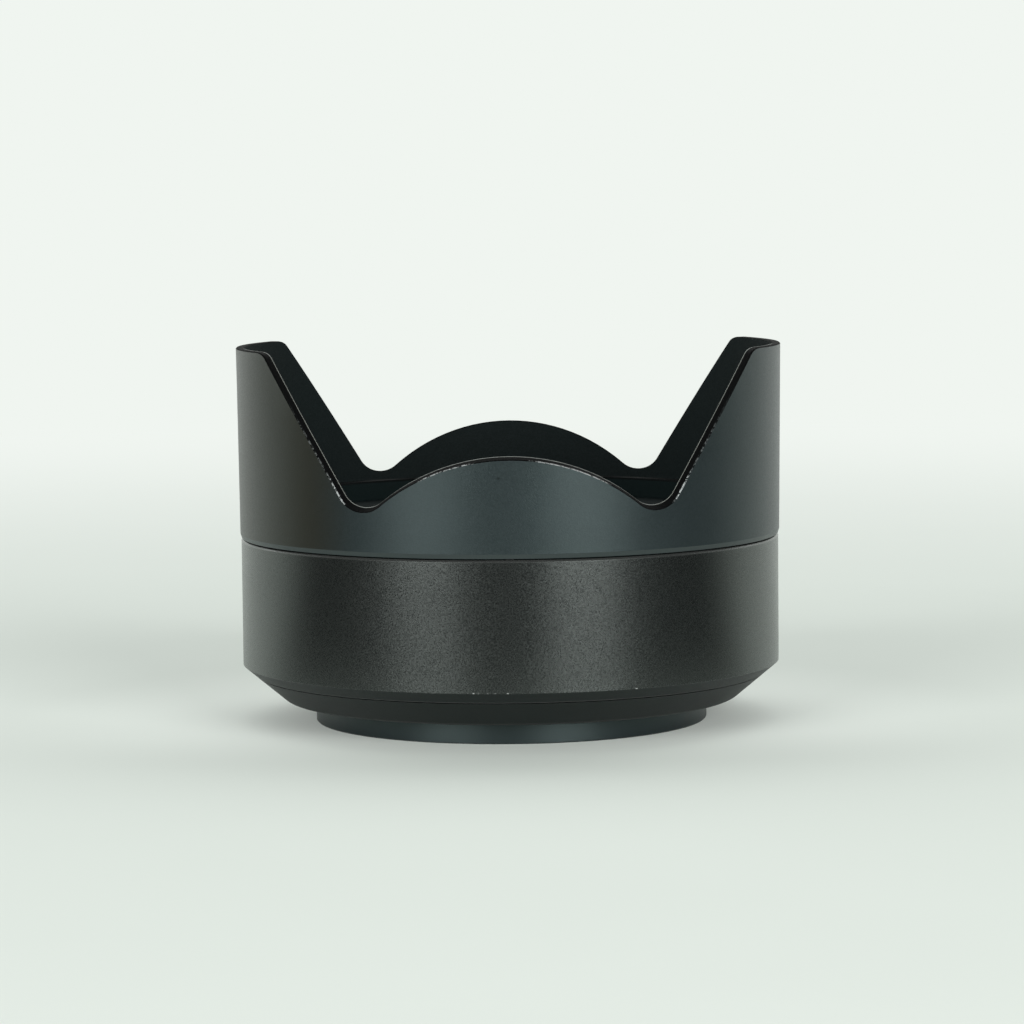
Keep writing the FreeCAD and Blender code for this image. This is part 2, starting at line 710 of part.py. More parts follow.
sector(rear_hub, "Groove", [
    (dim.link_circle - slot_half_width, hub_flange_bottom - OVERRUN),
    (dim.link_circle + slot_half_width, hub_flange_bottom - OVERRUN),
    (dim.link_circle + slot_half_width, hub_top + OVERRUN),
    (dim.link_circle - slot_half_width, hub_top + OVERRUN),
], slot_angle, link_slot_centre)
click_azimuth = dim.click_azimuth.number
axial_holes(rear_hub, dim.link_circle, dim.click_ball_radius + dim.click_ball_gap, hub_flange_bottom,
            dim.hub_flange_thickness, click_azimuth, 1)
guide_screw_azimuth = dim.guide_screw_azimuth.number
axial_holes(rear_hub, dim.guide_screw_circle, dim.guide_screw_radius, hub_flange_bottom,
            dim.hub_flange_thickness, guide_screw_azimuth, dim.guide_screw_count)
axial_holes(rear_hub, dim.guide_screw_circle, dim.guide_screw_head_radius, hub_flange_bottom,
            dim.guide_screw_head_height, guide_screw_azimuth, dim.guide_screw_count)
baffle_screw_azimuth = dim.baffle_screw_azimuth.number
axial_holes(rear_hub, dim.baffle_screw_circle, dim.baffle_screw_radius,
            hub_top + dim.baffle_thickness - dim.baffle_screw_length,
            dim.baffle_screw_length, baffle_screw_azimuth, dim.baffle_screw_count)
click_screw_azimuth = click_azimuth + dim.click_screw_offset.number
axial_holes(rear_hub, dim.link_circle, dim.click_screw_radius, hub_flange_bottom,
            dim.hub_flange_thickness, click_screw_azimuth, 1)
subpart(rear_hub, "rear_hub")

# Rear baffle: a thin black plate with the window that trims the light to the picture.
baffle = turned("rear_baffle", [
    (0, hub_top),
    (dim.baffle_radius, hub_top),
    (dim.baffle_radius, hub_top + dim.baffle_thickness),
    (0, hub_top + dim.baffle_thickness),
])
window = plane_sketch(baffle, "XY_Plane", offset=hub_top)
half_width, half_depth = dim.baffle_window_width / 2, dim.baffle_window_depth / 2
draw_outline(window, [
    (half_width * -1, half_depth * -1),
    (half_width, half_depth * -1),
    (half_width, half_depth),
    (half_width * -1, half_depth),
])
pocket(baffle, window, dim.baffle_thickness)
corner_edges = [
    f"Edge{index}" for index, edge in enumerate(baffle.Shape.Edges, start=1)
    if isinstance(edge.Curve, Part.Line)
    and abs(edge.Vertexes[0].Z - edge.Vertexes[-1].Z) > dim.baffle_thickness.number / 2
    and abs(abs(edge.Vertexes[0].X) - half_width.number) < 1e-4
]
square_baffle = baffle.Tip
window_corners = baffle.newObject("PartDesign::Fillet", "rear_baffle_corners")
window_corners.Base = (square_baffle, corner_edges)
window_corners.setExpression("Radius", dim.baffle_window_round.text)
baffle.Tip = window_corners
axial_holes(baffle, dim.baffle_screw_circle, dim.baffle_screw_radius, hub_top, dim.baffle_thickness,
            baffle_screw_azimuth, dim.baffle_screw_count)
subpart(baffle, "rear_baffle")
baffle_top = hub_top + dim.baffle_thickness
group("baffle_screws", [
    headed_screw(f"baffle_screw_{index}", dim.baffle_screw_radius,
                 dim.baffle_screw_length + dim.baffle_screw_head_height, dim.baffle_screw_head_radius,
                 dim.baffle_screw_head_height, dim.baffle_screw_circle,
                 baffle_top + dim.baffle_screw_head_height, azimuth, head_below=False)
    for index, azimuth in enumerate(azimuths(baffle_screw_azimuth, dim.baffle_screw_count))
])

# Aperture ring: the conical rear ring. It turns on the hub's neck and carries the link to the iris.
# Its narrow foot runs on the base ring, and the cone starts a little higher.
ring_bottom = dim.mount_ring_thickness + dim.aperture_ring_end_gap
foot_radius = dim.barrel_bore_radius + dim.barrel_foot_width
barrel_foot_bottom = dim.barrel_lower_edge - (dim.barrel_radius - foot_radius) * dim.cone_slope
rim_top = barrel_foot_bottom - dim.parting_gap
rim_radius = dim.barrel_radius - (dim.barrel_lower_edge - rim_top) / dim.cone_slope
cone_bottom = ring_bottom + dim.aperture_ring_foot_rise
cone_bottom_radius = dim.barrel_radius - (dim.barrel_lower_edge - cone_bottom) / dim.cone_slope
ring_shelf = hub_flange_bottom - dim.aperture_ring_shelf_gap
aperture_ring = turned("aperture_ring_blank", [
    (dim.aperture_ring_bore, ring_bottom),
    (dim.aperture_ring_bore + dim.aperture_ring_foot_width, ring_bottom),
    (dim.aperture_ring_bore + dim.aperture_ring_foot_width, cone_bottom),
    (cone_bottom_radius, cone_bottom),
    (rim_radius, rim_top),
    (rim_radius - dim.aperture_ring_rim_width, rim_top),
    (rim_radius - dim.aperture_ring_rim_width, ring_shelf),
    (dim.aperture_ring_bore, ring_shelf),
])
doc.recompute()


def circular_edge(shape, radius, height):
    """Name of the full circle about the optical axis at a radius and a height."""
    for index, edge in enumerate(shape.Edges, start=1):
        curve = edge.Curve
        if not isinstance(curve, Part.Circle):
            continue
        if abs(curve.Radius - radius) < 1e-4 and abs(curve.Center.z - height) < 1e-4:
            return f"Edge{index}"
    raise RuntimeError("no such edge")


sharp_edge = circular_edge(aperture_ring.Shape, cone_bottom_radius.number, cone_bottom.number)
sharp_ring = aperture_ring.Tip
rounded = aperture_ring.newObject("PartDesign::Fillet", "aperture_ring_rounding")
rounded.Base = (sharp_ring, [sharp_edge])
rounded.setExpression("Radius", dim.aperture_ring_edge_round.text)
aperture_ring.Tip = rounded
doc.recompute()
axial_holes(aperture_ring, dim.link_circle, dim.link_radius, ring_shelf - dim.link_depth, dim.link_depth,
            link_azimuth, 1)
notches = joined("click_notches", [
    primitive("Sphere", f"click_notch_{index}", {"Radius": dim.click_ball_radius}, dim.link_circle,
              ring_shelf + dim.click_ball_radius - dim.click_notch_depth,
              click_azimuth - dim.aperture_range.number * index / (dim.click_stops.number - 1))
    for index in range(int(dim.click_stops.number))
])
subpart(cut("aperture_ring_notched", aperture_ring, notches), "aperture_ring")

link_bottom = ring_shelf - dim.link_depth
subpart(primitive("Cylinder", "aperture_link", {
    "Radius": dim.link_radius,
    "Height": dim.link_height,
}, dim.link_circle, link_bottom, link_azimuth), "aperture_link")

# Click stop: a ball in the hub's flange, pressed towards the aperture ring by a leaf spring.
ball_bottom = ring_shelf + dim.click_ball_gap
ball_top = ball_bottom + dim.click_ball_radius * 2
subpart(primitive("Sphere", "click_ball", {"Radius": dim.click_ball_radius}, dim.link_circle,
                  ball_bottom + dim.click_ball_radius, click_azimuth), "click_ball")


def polar(radius, degrees, height=0.0):
    """Point at a distance from the optical axis, at an azimuth in degrees."""
    angle = math.radians(degrees)
    return Vector(radius * math.cos(angle), radius * math.sin(angle), height)


def leaf_spring():
    """Leaf that lies on the flange at its screw and steps up over the ball."""
    low = hub_top.number
    high = ball_top.number + dim.seat_clearance.number
    thick = dim.click_spring_thickness.number
    length = dim.click_spring_length.number
    foot = dim.click_spring_foot.number
    ramp = foot + dim.click_spring_ramp.number
    outline = [
        Vector(0, 0, low), Vector(foot, 0, low), Vector(ramp, 0, high), Vector(length, 0, high),
        Vector(length, 0, high + thick), Vector(ramp, 0, high + thick), Vector(foot, 0, low + thick),
        Vector(0, 0, low + thick),
    ]
    width = dim.click_spring_width.number
    face = Part.Face(Part.makePolygon(outline + outline[:1]))
    leaf = face.extrude(Vector(0, width, 0))
    centre = polar(dim.link_circle.number, click_screw_azimuth)
    along = polar(dim.link_circle.number, click_azimuth) - centre
    leaf.translate(Vector(-width / 2, -width / 2, 0))
    leaf.rotate(Vector(), Vector(0, 0, 1), math.degrees(math.atan2(along.y, along.x)))
    leaf.translate(centre)
    hole = Part.makeCylinder(dim.click_screw_radius.number, high, centre)
    return leaf.cut(hole)


leaf = doc.addObject("Part::Feature", "click_spring")
leaf.Shape = leaf_spring()
subpart(leaf, "click_spring")
click_screw_top = hub_top + dim.click_spring_thickness + dim.click_screw_head_height
subpart(headed_screw("click_screw_slotted", dim.click_screw_radius, click_screw_top - hub_flange_bottom,
                     dim.click_screw_head_radius, dim.click_screw_head_height, dim.link_circle,
                     click_screw_top, click_screw_azimuth, head_below=False), "click_screw")

# Guide tube: fixed to the hub, with three straight slots that keep the optical unit from turning.
guide_bore = dim.guide_outer_radius - dim.guide_wall
guide_tube = turned("guide_tube", [
    (dim.guide_foot_bore, hub_top),
    (dim.guide_outer_radius, hub_top),
    (dim.guide_outer_radius, dim.guide_top),
    (guide_bore, dim.guide_top),
    (guide_bore, hub_top + dim.guide_foot_thickness),
    (dim.guide_foot_bore, hub_top + dim.guide_foot_thickness),
])
slot_half = dim.roller_radius + dim.roller_clearance
slot_end = slot_half + dim.roller_end_gap
straight_slot = plane_sketch(guide_tube, "YZ_Plane", turn=dim.roller_azimuth.number)
draw_outline(straight_slot, [
    (slot_half * -1, dim.roller_height - slot_end),
    (slot_half, dim.roller_height - slot_end),
    (slot_half, dim.roller_height + dim.focus_travel + slot_end),
    (slot_half * -1, dim.roller_height + dim.focus_travel + slot_end),
])
pocket(guide_tube, straight_slot, LARGEST_RADIUS, dim.roller_count)
axial_holes(guide_tube, dim.guide_screw_circle, dim.guide_screw_radius, hub_top,
            dim.guide_foot_thickness, guide_screw_azimuth, dim.guide_screw_count)
radial_holes(guide_tube, dim.stop_pin_height, dim.stop_pin_radius, dim.stop_pin_azimuth.number, 1)
collar_screw_azimuth = dim.collar_screw_azimuth.number
radial_holes(guide_tube, dim.collar_screw_height, dim.collar_screw_radius, collar_screw_azimuth,
             dim.collar_screw_count)
subpart(guide_tube, "guide_tube")
guide_screw_length = dim.hub_flange_thickness + dim.guide_foot_thickness
group("guide_screws", [
    headed_screw(f"guide_screw_{index}", dim.guide_screw_radius, guide_screw_length,
                 dim.guide_screw_head_radius, dim.guide_screw_head_height, dim.guide_screw_circle,
                 hub_flange_bottom, azimuth, head_below=True)
    for index, azimuth in enumerate(azimuths(guide_screw_azimuth, dim.guide_screw_count))
])

# Focus ring: the plain outer sleeve, with its bevelled lower edge and a recess for the cam tube's flange.
focus_ring = turned("focus_ring", [
    (dim.barrel_bore_radius, barrel_foot_bottom),
    (foot_radius, barrel_foot_bottom),
    (dim.barrel_radius, dim.barrel_lower_edge),
    (dim.barrel_radius, dim.barrel_top - dim.barrel_top_chamfer),
    (dim.barrel_radius - dim.barrel_top_chamfer, dim.barrel_top),
    (dim.barrel_recess_radius, dim.barrel_top),
    (dim.barrel_recess_radius, dim.barrel_shoulder_height),
    (dim.barrel_bore_radius, dim.barrel_shoulder_height),
])
cam_screw_azimuth = dim.cam_screw_azimuth.number
cam_top = dim.barrel_shoulder_height + dim.cam_flange_thickness
axial_holes(focus_ring, dim.cam_screw_circle, dim.cam_screw_radius, cam_top - dim.cam_screw_length,
            dim.cam_screw_length, cam_screw_azimuth, dim.cam_screw_count)
subpart(focus_ring, "focus_ring")

# Cam tube: turns with the focus ring. Its three helical slots lift the optical unit.
cam_bore = dim.guide_outer_radius + dim.running_clearance
cam_bottom = rim_top + dim.cam_bottom_gap
cam_tube = turned("cam_tube_blank", [
    (cam_bore, cam_bottom),
    (dim.cam_outer_radius, cam_bottom),
    (dim.cam_outer_radius, dim.barrel_shoulder_height),
    (dim.cam_flange_radius, dim.barrel_shoulder_height),
    (dim.cam_flange_radius, cam_top),
    (cam_bore, cam_top),
])
axial_holes(cam_tube, dim.cam_screw_circle, dim.cam_screw_radius, dim.barrel_shoulder_height,
            dim.cam_flange_thickness, cam_screw_azimuth, dim.cam_screw_count)
axial_holes(cam_tube, dim.cam_screw_circle, dim.cam_screw_head_radius, cam_top - dim.cam_screw_head_height,
            dim.cam_screw_head_height, cam_screw_azimuth, dim.cam_screw_count)
stop_half = dim.stop_pin_radius + dim.stop_pin_gap
stop_angle = dim.focus_range + Size.of(math.degrees(2)) * stop_half / dim.guide_outer_radius
sector(cam_tube, "Groove", [
    (cam_bore - OVERRUN, dim.stop_pin_height - stop_half),
    (dim.cam_outer_radius + OVERRUN, dim.stop_pin_height - stop_half),
    (dim.cam_outer_radius + OVERRUN, dim.stop_pin_height + stop_half),
    (cam_bore - OVERRUN, dim.stop_pin_height + stop_half),
], stop_angle, dim.stop_pin_azimuth.number - dim.focus_range.number / 2)
doc.recompute()


def smooth_edge(points):
    """Smooth edge through a row of points."""
    curve = Part.BSplineCurve()
    curve.interpolate(points)
    return curve.toShape()


def ribbon_shell(rails):
    """Open shell of ruled faces between neighbouring rails, where each rail is a row of edges."""
    faces = []
    for near, far in zip(rails, rails[1:]):
        faces += [Part.makeRuledSurface(one, other) for one, other in zip(near, far)]
    ribbon = Part.makeShell(faces)
    ribbon.sewShape()
    return ribbon


def helical_slot_rail(radius):
    """Outline of one helical slot where it meets a cylinder, starting beside the roller's rest place."""
    half = dim.roller_radius.number + dim.roller_clearance.number
    turn = math.radians(dim.focus_range.number)
    travel = dim.focus_travel.number
    middle_radius = (cam_bore.number + dim.cam_outer_radius.number) / 2
    slope = math.atan2(travel, turn * middle_radius)

    def place(share, bearing):
        across = half * math.cos(bearing)
        up = half * math.sin(bearing)
        azimuth = -turn * share + across / radius
        height = dim.roller_height.number + travel * share + up
        return Vector(radius * math.cos(azimuth), radius * math.sin(azimuth), height)

    below = -math.pi / 2 - slope
    above = math.pi / 2 - slope
    steps = 24
    arc_steps = 10
    return [
        smooth_edge([place(step / steps, below) for step in range(steps + 1)]),
        smooth_edge([place(1, below - math.pi * step / arc_steps) for step in range(arc_steps + 1)]),
        smooth_edge([place(1 - step / steps, above) for step in range(steps + 1)]),
        smooth_edge([place(0, above - math.pi * step / arc_steps) for step in range(arc_steps + 1)]),
    ]


def slotted_cam_tube():
    """The tube without the three plugs that the slots' outlines cut out of its wall."""
    ribbon = ribbon_shell([
        helical_slot_rail(cam_bore.number - OVERRUN),
        helical_slot_rail(dim.cam_outer_radius.number + OVERRUN),
    ])
    ribbons = []
    for azimuth in azimuths(dim.roller_azimuth.number, dim.roller_count):
        outline = ribbon.copy()
        outline.rotate(Vector(), Vector(0, 0, 1), azimuth)
        ribbons.append(outline)
    pieces = cam_tube.Shape.generalFuse(ribbons)[0].Solids
    return max(pieces, key=lambda piece: piece.Volume)


slotted = doc.addObject("Part::Feature", "cam_tube_slotted")
slotted.Shape = slotted_cam_tube()
subpart(slotted, "cam_tube")
group("cam_tube_screws", [
    headed_screw(f"cam_tube_screw_{index}", dim.cam_screw_radius, dim.cam_screw_length,
                 dim.cam_screw_head_radius, dim.cam_screw_head_height, dim.cam_screw_circle, cam_top,
                 azimuth, head_below=False)
    for index, azimuth in enumerate(azimuths(cam_screw_azimuth, dim.cam_screw_count))
])
subpart(primitive("Cylinder", "focus_stop_pin", {
    "Radius": dim.stop_pin_radius,
    "Height": dim.cam_outer_radius - guide_bore,
}, guide_bore, dim.stop_pin_height, dim.stop_pin_azimuth.number, lying=True), "focus_stop_pin")
washer_bottom = cam_top + dim.seat_clearance
washer_top = washer_bottom + dim.friction_washer_thickness
washer_bore = cam_bore + dim.friction_washer_gap
washer_radius = washer_bore + dim.friction_washer_width
subpart(turned("friction_washer", [
    (washer_bore, washer_bottom),
    (washer_radius, washer_bottom),
    (washer_radius, washer_top),
    (washer_bore, washer_top),
]), "friction_washer")

# Optical barrel: the tube that slides in the guide tube, with the web that carries the glass.
optical_outer = guide_bore - dim.running_clearance
optical_bore = optical_outer - dim.optical_barrel_wall
web_top = dim.web_bottom + dim.web_thickness
optical_barrel = turned("optical_barrel", [
    (optical_bore, dim.optical_barrel_bottom),
    (optical_outer, dim.optical_barrel_bottom),
    (optical_outer, dim.optical_barrel_top),
    (optical_bore, dim.optical_barrel_top),
    (optical_bore, web_top),
    (dim.cell_body_radius, web_top),
    (dim.cell_body_radius, dim.web_bottom),
    (optical_bore, dim.web_bottom),
])
radial_holes(optical_barrel, dim.roller_height, dim.roller_screw_radius, dim.roller_azimuth.number,
             dim.roller_count)
subpart(optical_barrel, "optical_barrel")

# Cam rollers: one at each straight slot, on a screw in the optical barrel's wall.
roller_start = optical_outer + dim.roller_side_gap
roller_end = dim.cam_outer_radius - dim.roller_side_gap
rollers = []
roller_screws = []
for index, azimuth in enumerate(azimuths(dim.roller_azimuth.number, dim.roller_count)):
    blank = primitive("Cylinder", f"roller_blank_{index}", {
        "Radius": dim.roller_radius,
        "Height": roller_end - roller_start,
    }, roller_start, dim.roller_height, azimuth, lying=True)
    bore = primitive("Cylinder", f"roller_bore_{index}", {
        "Radius": dim.roller_screw_radius + dim.seat_clearance,
        "Height": roller_end - roller_start,
    }, roller_start, dim.roller_height, azimuth, lying=True)
    recess = primitive("Cylinder", f"roller_recess_{index}", {
        "Radius": dim.roller_screw_head_radius + dim.seat_clearance,
        "Height": dim.roller_screw_head_height + dim.seat_clearance,
    }, roller_end - dim.roller_screw_head_height - dim.seat_clearance, dim.roller_height, azimuth, lying=True)
    rollers.append(cut(f"roller_{index}", blank, joined(f"roller_hollow_{index}", [bore, recess])))
    roller_screws.append(headed_screw(
        f"roller_screw_{index}", dim.roller_screw_radius, roller_end - optical_bore,
        dim.roller_screw_head_radius, dim.roller_screw_head_height, roller_end, dim.roller_height,
        azimuth, head_below=False, lying=True))
group("cam_rollers", rollers)
group("roller_screws", roller_screws)

# Front cell: holds the two front elements, and its outside is the nose that moves out for focus.
def sag(curve, radius):
    """How far a sphere of a curve radius falls from its vertex at a radius, as a size."""
    number = curve.number - math.sqrt(curve.number ** 2 - radius.number ** 2)
    return Size(number, f"({curve.text} - sqrt({curve.text} ^ 2 - {radius.text} ^ 2))")


middle_front_edge = dim.middle_glass_front_vertex + sag(dim.middle_glass_front_curve, dim.middle_glass_radius)
middle_rear_edge = dim.middle_glass_rear_vertex - sag(dim.middle_glass_rear_curve, dim.middle_glass_radius)
front_glass_bottom = dim.front_glass_vertex - dim.front_glass_thickness
front_glass_edge = dim.front_glass_vertex - sag(dim.front_glass_curve, dim.front_glass_radius)
front_cell = turned("front_cell", [
    (dim.middle_seat_bore, dim.cell_bottom),
    (dim.cell_body_radius, dim.cell_bottom),
    (dim.cell_body_radius, web_top),
    (dim.nose_radius, web_top),
    (dim.nose_radius, dim.cell_top),
    (dim.front_glass_radius, dim.cell_top),
    (dim.front_glass_radius, middle_front_edge),
    (dim.middle_glass_radius, middle_front_edge),
    (dim.middle_glass_radius, middle_rear_edge),
    (dim.middle_seat_bore, middle_rear_edge),
])
subpart(front_cell, "front_cell")
subpart(turned("cell_spacer", [
    (dim.spacer_bore, middle_front_edge),
    (dim.front_glass_radius, middle_front_edge),
    (dim.front_glass_radius, front_glass_bottom),
    (dim.spacer_bore, front_glass_bottom),
]), "cell_spacer")
retainer_seat = dim.front_glass_vertex - sag(dim.front_glass_curve, dim.front_retainer_bore)
front_retainer = turned("front_retainer", [
    (dim.front_retainer_bore, retainer_seat + dim.seat_clearance),
    (dim.front_glass_radius, front_glass_edge + dim.seat_clearance),
    (dim.front_glass_radius, dim.front_retainer_top),
    (dim.front_retainer_bore, dim.front_retainer_top),
])
sector(front_retainer, "Groove", [
    (dim.front_retainer_bore - OVERRUN, dim.front_retainer_top - dim.spanner_slot_depth),
    (dim.front_glass_radius + OVERRUN, dim.front_retainer_top - dim.spanner_slot_depth),
    (dim.front_glass_radius + OVERRUN, dim.front_retainer_top + OVERRUN),
    (dim.front_retainer_bore - OVERRUN, dim.front_retainer_top + OVERRUN),
], dim.spanner_slot_angle, 0, 2)
subpart(front_retainer, "front_retainer")
nose_top = dim.cell_top + dim.nose_ring_height
nose_ring_bore = dim.front_glass_radius + dim.nose_ring_chamfer
subpart(turned("nose_ring", [
    (nose_ring_bore, dim.cell_top),
    (dim.nose_radius, dim.cell_top),
    (dim.nose_radius, nose_top - dim.nose_ring_chamfer),
    (dim.nose_radius - dim.nose_ring_chamfer, nose_top),
    (dim.nose_radius - dim.nose_ring_land, nose_top),
    (nose_ring_bore, dim.cell_top + dim.nose_ring_lip),
]), "nose_ring")


def ball(name, curve, centre):
    return primitive("Sphere", name, {"Radius": curve}, 0, centre)


def disc(name, radius, bottom, top):
    return primitive("Cylinder", name, {"Radius": radius, "Height": top - bottom}, 0, bottom)


# Front element: convex to the subject, nearly flat behind.
front_element = doc.addObject("Part::MultiCommon", "front_element_ground")
front_element.Shapes = [
    disc("front_element_blank", dim.front_glass_radius, front_glass_bottom, dim.front_glass_vertex),
    ball("front_element_curve", dim.front_glass_curve, dim.front_glass_vertex - dim.front_glass_curve),
]
subpart(front_element, "front_element")

# Middle element: hollow on both sides.
middle_hollows = joined("middle_element_curves", [
    ball("middle_element_front", dim.middle_glass_front_curve,
         dim.middle_glass_front_vertex + dim.middle_glass_front_curve),
    ball("middle_element_rear", dim.middle_glass_rear_curve,
         dim.middle_glass_rear_vertex - dim.middle_glass_rear_curve),
])
subpart(cut("middle_element_ground", disc("middle_element_blank", dim.middle_glass_radius, middle_rear_edge,
                                          middle_front_edge), middle_hollows), "middle_element")

# Rear pair: a thin hollow element cemented to a thicker convex one.
rear_front_edge = dim.rear_glass_front_vertex + sag(dim.rear_glass_front_curve, dim.rear_glass_radius)
cement_edge = dim.cement_vertex - sag(dim.cement_curve, dim.rear_glass_radius)
rear_rear_edge = dim.rear_glass_rear_vertex + sag(dim.rear_glass_rear_curve, dim.rear_glass_radius)
flint_hollows = joined("rear_flint_curves", [
    ball("rear_flint_front", dim.rear_glass_front_curve,
         dim.rear_glass_front_vertex + dim.rear_glass_front_curve),
    ball("rear_flint_back", dim.cement_curve, dim.cement_vertex - dim.cement_curve),
])
flint_blank = disc("rear_flint_blank", dim.rear_glass_radius, cement_edge, rear_front_edge)
subpart(cut("rear_flint_ground", flint_blank, flint_hollows), "rear_flint_element")
rear_crown = doc.addObject("Part::MultiCommon", "rear_crown_ground")
rear_crown.Shapes = [
    disc("rear_crown_blank", dim.rear_glass_radius, dim.rear_glass_rear_vertex, dim.cement_vertex),
    ball("rear_crown_front", dim.cement_curve, dim.cement_vertex - dim.cement_curve),
    ball("rear_crown_back", dim.rear_glass_rear_curve,
         dim.rear_glass_rear_vertex + dim.rear_glass_rear_curve),
]
subpart(rear_crown, "rear_crown_element")

# Rear cell: screwed into the iris cover from behind, with a retaining ring over the glass.
iris_cover_top = dim.iris_cover_bottom + dim.iris_cover_thickness
rear_seat = dim.rear_glass_rear_vertex + sag(dim.rear_glass_rear_curve, dim.rear_seat_bore)
rear_cell = turned("rear_cell", [
    (dim.rear_seat_bore, dim.rear_cell_bottom),
    (dim.rear_cell_radius, dim.rear_cell_bottom),
    (dim.rear_cell_radius, dim.rear_cell_flange_bottom),
    (dim.rear_cell_flange_radius, dim.rear_cell_flange_bottom),
    (dim.rear_cell_flange_radius, dim.iris_cover_bottom),
    (dim.rear_cell_radius, dim.iris_cover_bottom),
    (dim.rear_cell_radius, iris_cover_top),
    (dim.rear_retainer_radius, iris_cover_top),
    (dim.rear_retainer_radius, rear_front_edge),
    (dim.rear_glass_radius, rear_front_edge),
    (dim.rear_glass_radius, rear_rear_edge - dim.seat_clearance),
    (dim.rear_seat_bore, rear_seat - dim.seat_clearance),
])
subpart(rear_cell, "rear_cell")
rear_retainer_bottom = rear_front_edge + dim.seat_clearance
rear_retainer = turned("rear_retainer", [
    (dim.rear_retainer_bore, rear_retainer_bottom),
    (dim.rear_retainer_radius, rear_retainer_bottom),
    (dim.rear_retainer_radius, rear_retainer_bottom + dim.rear_retainer_thickness),
    (dim.rear_retainer_bore, rear_retainer_bottom + dim.rear_retainer_thickness),
])
subpart(rear_retainer, "rear_retainer")

# Iris housing: a cup over the blades, with a window in its wall for the iris ring's arm.
housing_bore = dim.iris_housing_radius - dim.iris_housing_wall
iris_ring_radius = housing_bore - dim.running_clearance
iris_ring_top = dim.iris_ring_bottom + dim.iris_ring_thickness
housing = turned("iris_housing", [
    (dim.blade_inner_radius - dim.iris_plate_lip, dim.iris_plate_bottom),
    (housing_bore, dim.iris_plate_bottom),
    (housing_bore, iris_cover_top),
    (dim.iris_housing_radius, iris_cover_top),
    (dim.iris_housing_radius, dim.cell_bottom),
    (dim.iris_collar_radius, dim.cell_bottom),
    (dim.iris_collar_radius, dim.web_bottom),
    (dim.cell_body_radius, dim.web_bottom),
    (dim.cell_body_radius, dim.cell_bottom),
    (dim.blade_inner_radius - dim.iris_plate_lip, dim.cell_bottom),
])
arm_half_width = dim.iris_arm_width / 2 + dim.iris_window_side_gap
arm_half_angle = Size.of(math.degrees(1)) * arm_half_width / housing_bore
window_top = dim.iris_plate_bottom - dim.iris_window_top_gap
sector(housing, "Groove", [
    (housing_bore - OVERRUN, iris_cover_top - OVERRUN),
    (dim.iris_housing_radius + OVERRUN, iris_cover_top - OVERRUN),
    (dim.iris_housing_radius + OVERRUN, window_top),
    (housing_bore - OVERRUN, window_top),
], dim.aperture_range + arm_half_angle * 2, link_slot_centre)
blade_azimuth = dim.blade_azimuth.number
axial_holes(housing, dim.blade_pivot_circle, dim.blade_pin_radius + dim.blade_pin_clearance,
            dim.iris_plate_bottom, dim.cell_bottom - dim.iris_plate_bottom, blade_azimuth, dim.blade_count)
iris_screw_azimuth = dim.iris_screw_azimuth.number
iris_screw_circle = dim.iris_housing_radius - dim.iris_housing_wall / 2
iris_screw_reach = dim.iris_screw_length - dim.iris_cover_thickness
axial_holes(housing, iris_screw_circle, dim.iris_screw_radius, iris_cover_top, iris_screw_reach,
            iris_screw_azimuth, dim.iris_screw_count)
subpart(housing, "iris_housing")
cover = turned("iris_cover", [
    (dim.rear_cell_radius, dim.iris_cover_bottom),
    (dim.iris_housing_radius, dim.iris_cover_bottom),
    (dim.iris_housing_radius, iris_cover_top),
    (dim.rear_cell_radius, iris_cover_top),
])
axial_holes(cover, iris_screw_circle, dim.iris_screw_radius, dim.iris_cover_bottom,
            dim.iris_cover_thickness, iris_screw_azimuth, dim.iris_screw_count)
axial_holes(cover, iris_screw_circle, dim.iris_screw_head_radius, dim.iris_cover_bottom,
            dim.iris_screw_head_height, iris_screw_azimuth, dim.iris_screw_count)
subpart(cover, "iris_cover")
group("iris_screws", [
    headed_screw(f"iris_screw_{index}", dim.iris_screw_radius, dim.iris_screw_length,
                 dim.iris_screw_head_radius, dim.iris_screw_head_height, iris_screw_circle,
                 dim.iris_cover_bottom, azimuth, head_below=True)
    for index, azimuth in enumerate(azimuths(iris_screw_azimuth, dim.iris_screw_count))
])

# Iris ring: turned by the link through its forked arm. Six curved slots lead the blades' tail pins.
blade_stack_bottom = iris_ring_top + dim.blade_first_gap


def tail_place(share):
    """Where a blade's tail pin stands on the iris ring when the ring has turned by a share of its range."""
    pivot = polar(dim.blade_pivot_circle.number, 0)
    tail = polar(dim.blade_tail_circle.number, -dim.blade_tail_azimuth.number)
    swung = Rotation(Vector(0, 0, 1), dim.blade_swing.number * share).multVec(tail - pivot) + pivot
    return Rotation(Vector(0, 0, 1), -dim.aperture_range.number * share).multVec(swung)


def round_ended_slot(path, width):
    """Flat outline of a slot that is as wide as twice width, along an arc through three points."""
    circle = Part.Arc(*path).toShape().Curve
    centre = circle.Center
    radius = circle.Radius
    first, middle, last = path

    def off(point, reach):
        return centre + (point - centre).normalize() * (radius + reach)

    outer = Part.Arc(off(first, width), off(middle, width), off(last, width))
    inner = Part.Arc(off(first, -width), off(middle, -width), off(last, -width))
    start_beyond = first + (first - middle).normalize() * width
    end_beyond = last + (last - middle).normalize() * width
    return Part.Wire(Part.__sortEdges__([
        outer.toShape(),
        Part.Arc(off(last, width), end_beyond, off(last, -width)).toShape(),
        inner.toShape(),
        Part.Arc(off(first, -width), start_beyond, off(first, width)).toShape(),
    ]))


